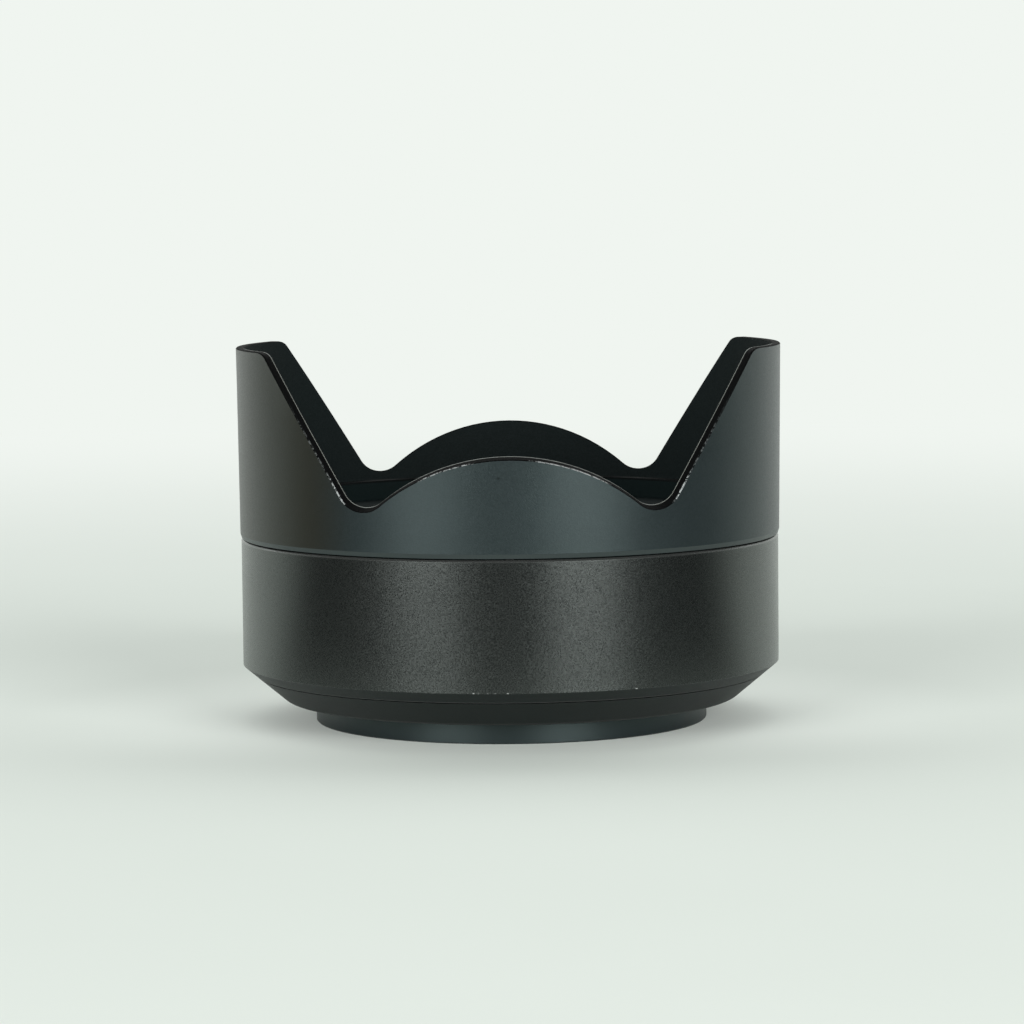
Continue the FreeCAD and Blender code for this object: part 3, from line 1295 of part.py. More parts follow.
def iris_ring_shape():
    bottom = dim.iris_ring_bottom.number
    thick = dim.iris_ring_thickness.number
    ring = Part.makeCylinder(iris_ring_radius.number, thick, Vector(0, 0, bottom))
    arm_start = dim.iris_arm_root.number
    reach = dim.iris_arm_reach.number
    width = dim.iris_arm_width.number
    arm = Part.makeBox(reach - arm_start, width, thick, Vector(arm_start, -width / 2, bottom))
    fork = dim.link_radius.number + dim.iris_fork_clearance.number
    mouth = Part.makeBox(reach, 2 * fork, thick, Vector(dim.link_circle.number, -fork, bottom))
    seat = Part.makeCylinder(fork, thick, Vector(dim.link_circle.number, 0, bottom))
    arm = arm.cut(mouth).cut(seat)
    arm.rotate(Vector(), Vector(0, 0, 1), link_azimuth)
    shape = ring.fuse(arm).removeSplitter()
    shape = shape.cut(Part.makeCylinder(dim.iris_ring_bore.number, thick, Vector(0, 0, bottom)))
    width = dim.blade_pin_radius.number + dim.blade_slot_clearance.number
    outline = round_ended_slot([tail_place(0), tail_place(0.5), tail_place(1)], width)
    slot = Part.Face(outline).extrude(Vector(0, 0, thick))
    slot.translate(Vector(0, 0, bottom))
    for azimuth in azimuths(blade_azimuth, dim.blade_count):
        tool = slot.copy()
        tool.rotate(Vector(), Vector(0, 0, 1), azimuth)
        shape = shape.cut(tool)
    return shape


iris_ring = doc.addObject("Part::Feature", "iris_ring")
iris_ring.Shape = iris_ring_shape()
subpart(iris_ring, "iris_ring")


def blade_shape(index, azimuth):
    """Crescent blade on its own layer, with a pivot pin up into the plate and a tail pin down to the ring."""
    bottom = blade_stack_bottom.number + index * dim.blade_pitch.number
    thick = dim.blade_thickness.number
    base = Vector(0, 0, bottom)
    outer = dim.blade_outer_radius.number
    inner = dim.blade_inner_radius.number
    pivot = polar(dim.blade_pivot_circle.number, 0, bottom)
    tail = polar(dim.blade_tail_circle.number, -dim.blade_tail_azimuth.number, bottom)
    lobe = dim.blade_lobe_radius.number
    lead = dim.blade_lead.number
    crescent = Part.makeCylinder(outer, thick, base, Vector(0, 0, 1), dim.blade_span.number + lead)
    crescent.rotate(Vector(), Vector(0, 0, 1), -lead)
    crescent = crescent.cut(Part.makeCylinder(inner, thick, base))
    along = tail - pivot
    bar = Part.makeBox(along.Length, 2 * lobe, thick, Vector(0, -lobe, 0))
    bar.rotate(Vector(), Vector(0, 0, 1), math.degrees(math.atan2(along.y, along.x)))
    bar.translate(pivot)
    blade = crescent.multiFuse([
        bar,
        Part.makeCylinder(lobe, thick, pivot),
        Part.makeCylinder(lobe, thick, tail),
    ]).removeSplitter()
    pin = dim.blade_pin_radius.number
    pin_gap = dim.blade_pin_clearance.number
    plate_reach = dim.cell_bottom.number - pin_gap - bottom
    ring_reach = bottom + thick - dim.iris_ring_bottom.number - pin_gap
    blade = blade.multiFuse([
        Part.makeCylinder(pin, plate_reach, pivot),
        Part.makeCylinder(pin, ring_reach, tail + Vector(0, 0, thick - ring_reach)),
    ])
    blade.rotate(Vector(), Vector(0, 0, 1), azimuth)
    return blade


for index, azimuth in enumerate(azimuths(blade_azimuth, dim.blade_count)):
    blade = doc.addObject("Part::Feature", f"iris_blade_{index + 1}")
    blade.Shape = blade_shape(index, azimuth)
    subpart(blade, f"iris_blade_{index + 1}")

# Front collar: fixed on the guide tube. It carries the hood's bayonet lugs and the filter thread.
flange_top = dim.collar_flange_bottom + dim.collar_flange_thickness
ledge_top = dim.guide_top + dim.collar_ledge_thickness
trim_edge_top = ledge_top + dim.trim_edge_thickness
trim_seat_radius = dim.trim_radius + dim.trim_seat_clearance
filter_thread_bottom = dim.collar_seat_top
collar = turned("front_collar", [
    (dim.guide_outer_radius, dim.collar_flange_bottom),
    (dim.collar_flange_radius, dim.collar_flange_bottom),
    (dim.collar_flange_radius, flange_top),
    (dim.collar_radius, flange_top),
    (dim.collar_radius, dim.collar_top),
    (dim.filter_thread_radius + dim.filter_thread_lead_in, dim.collar_top),
    (dim.filter_thread_radius, dim.collar_top - dim.filter_thread_lead_in),
    (dim.filter_thread_radius, filter_thread_bottom),
    (trim_seat_radius, filter_thread_bottom),
    (trim_seat_radius, ledge_top),
    (dim.collar_ledge_bore, ledge_top),
    (dim.collar_ledge_bore, dim.guide_top),
    (dim.guide_outer_radius, dim.guide_top),
])
tab_bottom = flange_top + dim.tab_clearance
tab_top = tab_bottom + dim.tab_thickness
lug_bottom = tab_top + dim.tab_clearance
sector(collar, "Revolution", [
    (dim.collar_radius - OVERRUN, lug_bottom),
    (dim.lug_radius, lug_bottom),
    (dim.lug_radius, lug_bottom + dim.lug_thickness),
    (dim.collar_radius - OVERRUN, lug_bottom + dim.lug_thickness),
], dim.lug_half_width * 2, dim.lug_azimuth.number, dim.lug_count)
spring_bottom = tab_bottom + dim.hood_spring_rise
pocket_bottom = spring_bottom - dim.hood_spring_gap
pocket_top = spring_bottom + dim.hood_spring_height + dim.hood_spring_gap
sector(collar, "Groove", [
    (dim.collar_radius - dim.hood_spring_depth, pocket_bottom),
    (dim.collar_radius + OVERRUN, pocket_bottom),
    (dim.collar_radius + OVERRUN, pocket_top),
    (dim.collar_radius - dim.hood_spring_depth, pocket_top),
], dim.hood_pocket_half_width * 2, dim.lug_azimuth.number)
radial_holes(collar, dim.collar_screw_height, dim.collar_screw_radius, collar_screw_azimuth,
             dim.collar_screw_count)
subpart(collar, "front_collar")
collar_screw_end = dim.collar_flange_radius - dim.collar_screw_depth
collar_screw_length = collar_screw_end - guide_bore - dim.collar_screw_end_gap
group("collar_screws", [
    headed_screw(f"collar_screw_{index}", dim.collar_screw_radius, collar_screw_length,
                 dim.collar_screw_radius, dim.collar_screw_radius, collar_screw_end,
                 dim.collar_screw_height, azimuth, head_below=False, lying=True)
    for index, azimuth in enumerate(azimuths(collar_screw_azimuth, dim.collar_screw_count))
])

# Hood click spring: a curved leaf in a pocket of the collar, behind one of the hood's tabs.
leaf_outside = dim.collar_radius - dim.hood_spring_inset
hood_spring = new_body("hood_click_spring")
spring_sketch = plane_sketch(hood_spring, "XZ_Plane", turn=dim.lug_azimuth.number)
draw_outline(spring_sketch, [
    (leaf_outside - dim.hood_spring_thickness, spring_bottom),
    (leaf_outside, spring_bottom),
    (leaf_outside, spring_bottom + dim.hood_spring_height),
    (leaf_outside - dim.hood_spring_thickness, spring_bottom + dim.hood_spring_height),
])
revolve(hood_spring, "Revolution", spring_sketch, dim.hood_spring_half_width * 2)
subpart(hood_spring, "hood_click_spring")

# Hood stop pin: stands on the collar's flange beside a tab, so the hood only turns one way.
stop_circle = (dim.collar_radius + dim.hood_bore_radius) / 2
stop_reach = dim.hood_stop_radius + dim.tab_end_gap
stop_offset = dim.lug_half_width.number + math.degrees(stop_reach.number / stop_circle.number)
subpart(primitive("Cylinder", "hood_stop_pin", {
    "Radius": dim.hood_stop_radius,
    "Height": dim.hood_stop_height,
}, stop_circle, flange_top, dim.lug_azimuth.number - stop_offset), "hood_stop_pin")

# Front trim ring: the fixed black funnel between the filter thread and the moving nose.
trim_bore = dim.nose_radius + dim.trim_bore_clearance
felt_outer = dim.nose_radius + dim.felt_clearance + dim.felt_width
felt_bottom = dim.trim_hub_bottom + (dim.trim_hub_top - dim.trim_hub_bottom - dim.felt_thickness) / 2
trim_ring = turned("trim_ring", [
    (trim_bore, dim.trim_hub_bottom),
    (dim.trim_hub_radius, dim.trim_hub_bottom),
    (dim.trim_hub_radius, dim.trim_hub_top - dim.trim_edge_thickness),
    (dim.collar_ledge_bore - dim.trim_edge_inset, ledge_top),
    (dim.trim_radius, ledge_top),
    (dim.trim_radius, trim_edge_top),
    (dim.collar_ledge_bore - dim.trim_edge_inset, trim_edge_top),
    (dim.trim_hub_radius - dim.trim_hub_lip, dim.trim_hub_top),
    (trim_bore, dim.trim_hub_top),
])
felt_groove = plane_sketch(trim_ring, "XZ_Plane")
draw_outline(felt_groove, [
    (trim_bore - OVERRUN, felt_bottom),
    (felt_outer, felt_bottom),
    (felt_outer, felt_bottom + dim.felt_thickness),
    (trim_bore - OVERRUN, felt_bottom + dim.felt_thickness),
])
revolve(trim_ring, "Groove", felt_groove)
subpart(trim_ring, "trim_ring")
subpart(turned("felt_seal", [
    (dim.nose_radius + dim.felt_clearance, felt_bottom),
    (felt_outer, felt_bottom),
    (felt_outer, felt_bottom + dim.felt_thickness),
    (dim.nose_radius + dim.felt_clearance, felt_bottom + dim.felt_thickness),
]), "felt_seal")

# Petal hood: a slightly conical shell with three bayonet tabs inside, taller than its petals at first.
BLANK_EXTRA = 1
blank_top = dim.hood_height_limit + BLANK_EXTRA
outer_slope = (dim.hood_top_radius - dim.hood_bottom_radius) / (dim.hood_height_limit - dim.hood_bottom)
inner_top_radius = dim.hood_top_radius - dim.hood_wall_at_top
thin_radius = (dim.hood_bottom_radius + outer_slope * (dim.hood_thin_start - dim.hood_bottom)
               - dim.hood_wall_at_notch)
inner_slope = (inner_top_radius - thin_radius) / (dim.hood_height_limit - dim.hood_thin_start)
hood_blank = turned("hood_blank", [
    (dim.hood_rebate_radius, dim.hood_bottom),
    (dim.hood_bottom_radius - dim.hood_lower_chamfer_depth, dim.hood_bottom),
    (dim.hood_bottom_radius, dim.hood_bottom + dim.hood_lower_chamfer_height),
    (dim.hood_top_radius + outer_slope * BLANK_EXTRA, blank_top),
    (inner_top_radius + inner_slope * BLANK_EXTRA, blank_top),
    (thin_radius, dim.hood_thin_start),
    (dim.hood_bore_radius, dim.hood_cone_start),
    (dim.hood_bore_radius, tab_bottom),
    (dim.hood_rebate_radius, tab_bottom),
])
sector(hood_blank, "Revolution", [
    (dim.tab_inner_radius, tab_bottom),
    (dim.hood_bore_radius + OVERRUN, tab_bottom),
    (dim.hood_bore_radius + OVERRUN, tab_top),
    (dim.tab_inner_radius, tab_top),
], dim.lug_half_width * 2, dim.lug_azimuth.number, dim.lug_count)
doc.recompute()


def hood_outside(height):
    low = dim.hood_bottom.number + dim.hood_lower_chamfer_height.number
    share = (height - low) / (blank_top.number - low)
    top_radius = (dim.hood_top_radius + outer_slope * BLANK_EXTRA).number
    return dim.hood_bottom_radius.number + share * (top_radius - dim.hood_bottom_radius.number)


def hood_inside(height):
    below = dim.hood_thin_start.number - height
    if below > 0:
        flare = thin_radius.number - dim.hood_bore_radius.number
        return thin_radius.number - flare * below / dim.hood_inner_flare_height.number
    return thin_radius.number - inner_slope.number * below


class PetalEdge:
    """Right half of the hood's front rim, seen from the front, moved into the metal by an allowance.

    Each stretch maps a share from 0 to 1 to a point across from the axis and up. The arch is the short
    front petal, the notch is hollow, and the flank rises to the rounded corner of the tall side petal.
    """

    def __init__(self, allowance):
        self.arch_curve = dim.petal_arch_curve.number - allowance
        self.notch_curve = dim.notch_curve.number + allowance
        self.corner_curve = dim.petal_corner_curve.number - allowance
        self.top = dim.hood_height_limit.number - allowance
        crest = dim.petal_crest.number
        self.arch_centre = (0, crest - dim.petal_arch_curve.number)
        notch_up = dim.notch_bottom.number + dim.notch_curve.number
        reach = dim.petal_arch_curve.number + dim.notch_curve.number
        rise = notch_up - self.arch_centre[1]
        self.notch_centre = (math.sqrt(reach ** 2 - rise ** 2), notch_up)
        self.lean = math.atan2(rise, self.notch_centre[0])
        self.flank = math.radians(dim.flank_angle.number)
        corner_up = dim.hood_height_limit.number - dim.petal_corner_curve.number
        side = (math.sin(self.flank), -math.cos(self.flank))
        foot_up = notch_up + side[1] * (dim.notch_curve.number + dim.petal_corner_curve.number)
        climb = (corner_up - foot_up) / math.sin(self.flank)
        offset = dim.notch_curve.number + dim.petal_corner_curve.number
        self.corner_centre = (
            self.notch_centre[0] + side[0] * offset + climb * math.cos(self.flank),
            corner_up,
        )

    @staticmethod
    def on_arc(centre, curve, start, end, share):
        angle = start + (end - start) * share
        return centre[0] + curve * math.cos(angle), centre[1] + curve * math.sin(angle)

    def arch(self, share):
        return self.on_arc(self.arch_centre, self.arch_curve, math.pi / 2, self.lean, share)

    def notch(self, share):
        return self.on_arc(self.notch_centre, self.notch_curve, self.lean + math.pi,
                           self.flank + math.pi * 1.5, share)

    def corner(self, share):
        return self.on_arc(self.corner_centre, self.corner_curve, self.flank + math.pi / 2,
                           math.pi / 2, share)

    def rise(self, share):
        start = self.notch(1)
        end = self.corner(0)
        return start[0] + (end[0] - start[0]) * share, start[1] + (end[1] - start[1]) * share

    def stretches(self):
        return [(self.arch, 8), (self.notch, 12), (self.rise, 6), (self.corner, 8)]


def rim_curves(allowance, radius_at, drop=0.0):
    """The whole rim as edges, on a surface of revolution whose radius at a height is given.

    A drop lowers it, most at the notches and not at all at the top of the tall petals.
    """
    rim = PetalEdge(allowance)
    top = dim.hood_height_limit.number
    drop_share = drop / (top - dim.notch_bottom.number)
    reference = dim.petal_reference_radius.number
    curves = []

    def place(across, up, front, right):
        azimuth = math.asin(across / reference)
        level = up - drop_share * (top - up)
        radius = radius_at(level)
        return Vector(right * radius * math.sin(azimuth), -front * radius * math.cos(azimuth), level)

    for front in (1, -1):
        for right in (1, -1):
            for stretch, steps in rim.stretches():
                curves.append(smooth_edge([
                    place(*stretch(step / steps), front, right) for step in range(steps + 1)
                ]))
    across = rim.corner_centre[0]
    for right in (1, -1):
        middle = place(reference, rim.top, 1, right)
        ends = [place(across, rim.top, 1, right), middle, place(across, rim.top, -1, right)]
        curves.append(Part.Arc(*ends).toShape())
    return curves


def petal_hood_shape():
    """The shell below a ribbon that follows the rim. The ribbon's edges chamfer both corners of the rim."""
    inside = dim.petal_inner_chamfer.number
    outside = dim.petal_outer_chamfer.number
    drop = dim.petal_edge_drop.number
    rails = [
        rim_curves(inside * 2, lambda height: hood_inside(height) - inside),
        rim_curves(0, lambda height: hood_inside(height) + inside),
        rim_curves(0, lambda height: hood_outside(height) - outside, drop),
        rim_curves(outside * 2, lambda height: hood_outside(height) + outside, drop),
    ]
    pieces = hood_blank.Shape.generalFuse([ribbon_shell(rails)])[0].Solids
    return min(pieces, key=lambda piece: piece.BoundBox.ZMin)


petal_hood = doc.addObject("Part::Feature", "petal_hood")
petal_hood.Shape = petal_hood_shape()
subpart(petal_hood, "petal_hood")

# Every object has to be sound before anything is written.
doc.recompute()
for item in doc.Objects:
    if "Invalid" in item.State or "Error" in item.State:
        raise RuntimeError(f"{item.Name} failed: {item.State}")
os.makedirs("parts", exist_ok=True)
for item in subparts:
    if item.Shape.isNull() or not item.Shape.isValid() or not item.Shape.Solids:
        raise RuntimeError(f"{item.Label} has no sound solid")
for item in subparts:
    item.Shape.exportStep(f"parts/{item.Label}.step")
    print(f"{item.Label}: {len(item.Shape.Solids)} solids, {item.Shape.Volume:.1f} mm3")
print(f"{len(subparts)} sub-parts")
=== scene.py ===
import math

import bpy
from mathutils import Matrix, Vector


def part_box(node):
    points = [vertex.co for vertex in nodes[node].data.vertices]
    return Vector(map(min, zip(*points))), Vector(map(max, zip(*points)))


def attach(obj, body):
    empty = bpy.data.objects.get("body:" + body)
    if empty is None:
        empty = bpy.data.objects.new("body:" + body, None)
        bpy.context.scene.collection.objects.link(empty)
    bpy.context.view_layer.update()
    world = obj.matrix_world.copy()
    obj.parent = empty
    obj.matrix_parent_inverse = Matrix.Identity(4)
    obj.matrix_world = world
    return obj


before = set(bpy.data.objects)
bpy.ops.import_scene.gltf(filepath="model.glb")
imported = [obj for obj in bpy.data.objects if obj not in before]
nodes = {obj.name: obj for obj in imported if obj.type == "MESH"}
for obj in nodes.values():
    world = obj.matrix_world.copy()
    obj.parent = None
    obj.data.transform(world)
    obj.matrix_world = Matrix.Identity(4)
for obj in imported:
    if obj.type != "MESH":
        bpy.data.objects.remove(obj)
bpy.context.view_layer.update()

# Camera
# The photograph was taken with a long lens from half a metre in front, a little higher than the hood.
# The camera looks down by five degrees and leans slightly to one side.
MM = 0.001
camera_place = Vector((0.30, -505.7, 70.3)) * MM
camera_pitch_down = math.radians(4.992)
camera_roll = math.radians(-0.569)
camera = bpy.data.objects.new("camera", bpy.data.cameras.new("camera"))
bpy.context.scene.collection.objects.link(camera)
camera.data.sensor_width = 36.0
camera.data.lens = 140.625
camera.matrix_world = (
    Matrix.Translation(camera_place)
    @ Matrix.Rotation(math.pi / 2 - camera_pitch_down, 4, "X")
    @ Matrix.Rotation(camera_roll, 4, "Z")
)
bpy.context.scene.camera = camera
bpy.context.scene.view_settings.view_transform = "Standard"

# Base ring
# The smooth ring that the lens stands on, turned from aluminium and anodised a bluish satin black.
# It is screwed to the hub from below, and its inside carries the 42 mm thread.


class Value:
    """A number that changes from place to place. Arithmetic on it adds Math nodes to its shader."""

    def __init__(self, shader, socket):
        self.shader = shader
        self.socket = socket

    def math(self, operation, *others, clamp=False):
        settings = {"operation": operation, "use_clamp": clamp}
        return self.shader.node("ShaderNodeMath", settings, [self, *others])

    def __add__(self, other):
        return self.math("ADD", other)

    def __sub__(self, other):
        return self.math("SUBTRACT", other)

    def __mul__(self, other):
        return self.math("MULTIPLY", other)

    def __truediv__(self, other):
        return self.math("DIVIDE", other)

    def __rsub__(self, other):
        return self * -1 + other

    __radd__ = __add__
    __rmul__ = __mul__

    def abs(self):
        return self.math("ABSOLUTE")

    def least(self, other):
        return self.math("MINIMUM", other)

    def most(self, other):
        return self.math("MAXIMUM", other)

    def rise(self, low, high):
        """0 below low, 1 above high, and smooth between them. It falls instead if low is the higher."""
        share = (self - low) * (1.0 / (high - low))
        share = share.math("MULTIPLY", 1.0, clamp=True)
        return share * share * (3 - 2 * share)

    def near(self, middle, reach):
        """1 at the middle, falling smoothly to 0 at the reach on either side."""
        return (self - middle).abs().rise(reach, 0.0)


class Shader:
    """The nodes of a material or of the world."""

    def __init__(self, owner, output):
        owner.use_nodes = True
        self.tree = owner.node_tree
        self.tree.nodes.clear()
        self.output = self.tree.nodes.new(output)

    def node(self, kind, settings=(), inputs=(), output=0):
        """Any node: its settings first, then what its sockets get. Returns one of its outputs."""
        made = self.tree.nodes.new(kind)
        for key, setting in dict(settings).items():
            setattr(made, key, setting)
        pairs = inputs.items() if isinstance(inputs, dict) else enumerate(inputs)
        for key, given in pairs:
            if isinstance(given, Value):
                self.tree.links.new(given.socket, made.inputs[key])
            else:
                made.inputs[key].default_value = given
        return Value(self, made.outputs[output])

    def parts(self, vector):
        """The three numbers of a vector."""
        outputs = self.node("ShaderNodeSeparateXYZ", (), [vector]).socket.node.outputs
        return [Value(self, outputs[axis]) for axis in "XYZ"]

    def noise(self, per_mm, detail=2.0, roughness=0.5, place=None):
        """Smooth noise with a number of waves per millimetre."""
        return self.node("ShaderNodeTexNoise", {"noise_dimensions": "3D"}, {
            "Vector": place or self.place, "Scale": per_mm, "Detail": detail, "Roughness": roughness,
        })

    def grains(self, per_mm):
        """A random number for each of many small cells."""
        cells = self.node("ShaderNodeTexVoronoi", {"feature": "F1"}, {
            "Vector": self.place, "Scale": per_mm, "Randomness": 1.0,
        }, "Color")
        return self.parts(cells)[0]

    def stretched(self, around, along):
        """Place for patterns that are drawn out around the optical axis, as turning leaves them."""
        azimuth = self.y.math("ARCTAN2", self.x)
        numbers = [azimuth * around, self.z * along, self.radius * along]
        return self.node("ShaderNodeCombineXYZ", (), numbers)

    def blend(self, share, first, second):
        """Colour between two colours. The Mix node's colour sockets come after its other kinds."""
        factor, colour_a, colour_b, colour_result = 0, 6, 7, 2
        inputs = {factor: share, colour_a: self.colour(first), colour_b: self.colour(second)}
        return self.node("ShaderNodeMix", {"data_type": "RGBA"}, inputs, colour_result)

    @staticmethod
    def colour(given):
        return given if isinstance(given, Value) else (*given, 1.0)

    def seen(self, *kinds):
        """1 for rays of the named kinds."""
        outputs = self.node("ShaderNodeLightPath").socket.node.outputs
        found = [Value(self, outputs[f"Is {kind} Ray"]) for kind in kinds]
        return sum(found[1:], found[0]).least(1.0)

    def finish(self, surface):
        self.tree.links.new(surface.socket, self.output.inputs["Surface"])


class Finish(Shader):
    """A procedural material whose patterns lie on the object in millimetres."""

    def __init__(self, name):
        self.material = bpy.data.materials.new(name)
        super().__init__(self.material, "ShaderNodeOutputMaterial")
        metres = self.node("ShaderNodeTexCoord", output="Object")
        scaling = {"Vector": metres, "Scale": 1 / MM}
        self.place = self.node("ShaderNodeVectorMath", {"operation": "SCALE"}, scaling)
        self.x, self.y, self.z = self.parts(self.place)
        self.radius = (self.x * self.x + self.y * self.y).math("SQRT")

    def bump(self, height, depth_mm):
        """Surface relief in millimetres."""
        return self.node("ShaderNodeBump", (), {"Height": height, "Distance": depth_mm * MM})

    def coat(self, colour, roughness, relief=None, **constants):
        """One layer: the shader's varying sockets and its constant ones."""
        inputs = {"Base Color": self.colour(colour), "Roughness": roughness}
        if relief:
            inputs["Normal"] = relief
        for key, setting in constants.items():
            inputs[key.replace("_", " ")] = setting
        return self.node("ShaderNodeBsdfPrincipled", (), inputs)

    def surface(self, colour, roughness, relief=None, **constants):
        """A material of one layer."""
        return self.mixed(self.coat(colour, roughness, relief, **constants))

    def mixed(self, layer, share=None, other=None):
        """Finish the material with one layer, or with another over a share of it."""
        self.finish(self.node("ShaderNodeMixShader", (), [share, layer, other]) if other else layer)
        return self.material


def dress(material, *names):
    """Give CAD nodes a finish."""
    for name in names:
        nodes[name].data.materials.clear()
        nodes[name].data.materials.append(material)


teal_gloss = (0.78, 1.0, 0.98, 1.0)
satin_dark = (0.004, 0.0062, 0.0075)
satin_light = (0.008, 0.011, 0.0125)
satin = Finish("satin_black_base")
satin_turning = satin.stretched(around=6.0, along=9.0)
satin_streaks = satin.noise(per_mm=1.0, detail=3.0, roughness=0.6, place=satin_turning)
satin_tone = satin.noise(per_mm=0.35)
dress(satin.surface(
    satin.blend(satin_tone, satin_dark, satin_light),
    roughness=0.26 + 0.1 * satin_streaks,
    relief=satin.bump(satin_streaks, depth_mm=0.002),
    Specular_IOR_Level=0.6,
    Specular_Tint=teal_gloss,
), "mount_ring")

# Conical aperture ring
# The cone above the base ring, turned and anodised black with a duller blasted surface.
# It turns on the hub's neck to close the iris.
cone_dark = (0.0012, 0.0016, 0.0015)
cone_light = (0.003, 0.0038, 0.0036)
cone = Finish("blasted_cone")
cone_grain = cone.noise(per_mm=9.0, detail=3.0, roughness=0.6)
dress(cone.surface(
    cone.blend(cone.grains(per_mm=6.0), cone_dark, cone_light),
    roughness=0.36 + 0.12 * cone_grain,
    relief=cone.bump(cone_grain, depth_mm=0.005),
    Specular_IOR_Level=0.28,
    Specular_Tint=teal_gloss,
), "aperture_ring")

# Barrel sleeve
# The plain focus ring, blasted and anodised black, so that it glitters finely where light falls on it.
# Its lower edge is knocked at a few places, and its upper edge has a small lip with a faint painted
# highlight.
# A faint painted glint lies along the foot of the bevel.
barrel_foot_height = 6.08
barrel_foot_radius = 32.4
barrel_bevel_top = 7.40
barrel_lip_bottom = 22.95
edge_reach = 0.12
deep_knock_places = (-4.5, -0.4, 15.0)
light_knock_places = (-3.9, -2.8, -1.9)
barrel_dark = (0.0030, 0.0036, 0.0034)
barrel_light = (0.0072, 0.0079, 0.0076)
# Bare metal for the knocks; a little of it is also the painted highlight on the upper lip.
bare_and_highlight_grey = (0.45, 0.46, 0.45)
bevel_dark = (0.0014, 0.0019, 0.0018)
bevel_light = (0.004, 0.005, 0.0048)
# White for the painted highlight at the bevel's foot.
glint_white = (1.0, 1.0, 1.0)

barrel = Finish("blasted_barrel")
barrel_blasting = 2.2 * barrel.z.rise(barrel_lip_bottom + 0.15, barrel_lip_bottom - 0.15)
barrel_grain = (barrel.noise(per_mm=6.0, detail=1.0) - 0.5) * barrel_blasting + 0.5
barrel_speckle = barrel_grain.most(0.0).least(1.0)
barrel_tone = barrel.noise(per_mm=0.12, detail=3.0)

barrel_front = barrel.y.rise(-10.0, -20.0)
barrel_edge = barrel.z.near(barrel_bevel_top + 0.02, edge_reach).rise(0.1, 0.6)
deep_knocks = sum(barrel.x.near(place, reach=0.2) for place in deep_knock_places)
light_knocks = sum(barrel.x.near(place, reach=0.16) for place in light_knock_places)
knocks = (0.6 * deep_knocks + 0.2 * light_knocks) * barrel_front * barrel_edge
# Painted highlight: a little bare grey is blended in along the upper lip.
painted_lip_highlight = barrel.z.rise(barrel_lip_bottom, barrel_lip_bottom + 0.2)
# The real knocks and the painted lip highlight together.
knocks_and_lip_highlight = (knocks + 0.05 * painted_lip_highlight).least(1.0)
barrel_paint = barrel.blend(barrel_speckle, barrel_dark, barrel_light)
barrel_coat = barrel.coat(
    barrel.blend(knocks_and_lip_highlight, barrel_paint, bare_and_highlight_grey),
    roughness=0.18 + 0.12 * barrel_grain + 0.05 * barrel_tone,
    relief=barrel.bump(barrel_grain, depth_mm=0.0012),
    Specular_IOR_Level=1.0,
    Specular_Tint=(0.9, 1.0, 0.95, 1.0),
)

# Painted highlight: a little white is blended into the bevel along a thin ring at its foot.
foot_circle = barrel.radius.near(barrel_foot_radius, edge_reach)
painted_foot_glint = barrel.z.near(barrel_foot_height, edge_reach) * foot_circle
bevel_paint = barrel.blend(barrel_speckle, bevel_dark, bevel_light)
bevel_coat = barrel.coat(
    barrel.blend(0.06 * painted_foot_glint, bevel_paint, glint_white),
    roughness=0.38 + 0.1 * barrel_grain,
    Specular_IOR_Level=0.3,
    Specular_Tint=teal_gloss,
)
bevel = barrel.z.rise(barrel_bevel_top, barrel_bevel_top - 0.06)
dress(barrel.mixed(barrel_coat, bevel, bevel_coat), "focus_ring")

# Petal hood
# Two tall side petals and two short ones, milled from a slightly conical tube and painted satin black.
# The inside is matt black, and the paint has worn off the rim's outer edge at the arches and flanks.
# The front has one small dark mark. The left flank is painted browner, a painted reflection of the brown
# room on that side.
# A faint painted sheen runs along the rim's outer edge up the flanks.
# A painted highlight lightens the rim's inner edge in front.
# Painted light lifts the front of the downward foot chamfer.
skin_foot_height = 24.05
skin_foot_radius = 34.13
skin_flare = 0.0094
lining_foot_height = 28.4
lining_foot_radius = 33.175
lining_flare = 0.0092
rim_lowest = 28.0
rim_radius = 33.0
mark_x = -1.3
mark_height = 33.1
left_arch_x = -7.6
right_arch_x = 7.4
worn_flank_x = 20.0
# Where the painted sheen up the flanks is centred.
sheen_flank_x = 22.5
paint_dark = (0.007, 0.0105, 0.0115)
paint_light = (0.0165, 0.022, 0.0235)
# Painted reflection: brown for the left flank.
painted_brown_reflection = (0.0135, 0.0122, 0.008)
# Painted light for the front of the foot chamfer.
foot_light_colour = (0.023, 0.028, 0.028)
paint_mark = (0.001, 0.001, 0.001)
# Painted highlight for the rim's inner edge.
rim_highlight_grey = (0.14, 0.145, 0.13)
# Bare metal for the worn flecks, also used for the painted sheen.
bare_and_sheen_grey = (0.28, 0.29, 0.29)
flock_dark = (0.006, 0.0094, 0.0094)
flock_light = (0.0092, 0.0134, 0.0134)
rim_black = (0.0006, 0.001, 0.001)

hood = Finish("satin_black_hood")
skin_depth = skin_foot_radius + skin_flare * (hood.z - skin_foot_height) - hood.radius
lining_depth = hood.radius - lining_flare * (hood.z - lining_foot_height) - lining_foot_radius
across = hood.x.abs() * rim_radius / hood.radius
true_normal = hood.node("ShaderNodeNewGeometry", output="True Normal")
facing_x, facing_y = hood.parts(hood.node("ShaderNodeVectorTransform", {
    "vector_type": "NORMAL", "convert_from": "WORLD", "convert_to": "OBJECT",
}, [true_normal]))[:2]
outward = (facing_x * hood.x + facing_y * hood.y) / hood.radius
inside = outward.rise(-0.80, -0.90).most(lining_depth.rise(-0.02, -0.08))
rim = outward.abs().rise(0.92, 0.86) * hood.z.rise(rim_lowest, rim_lowest + 0.3)
hood_front = hood.y.rise(0.0, -8.0)

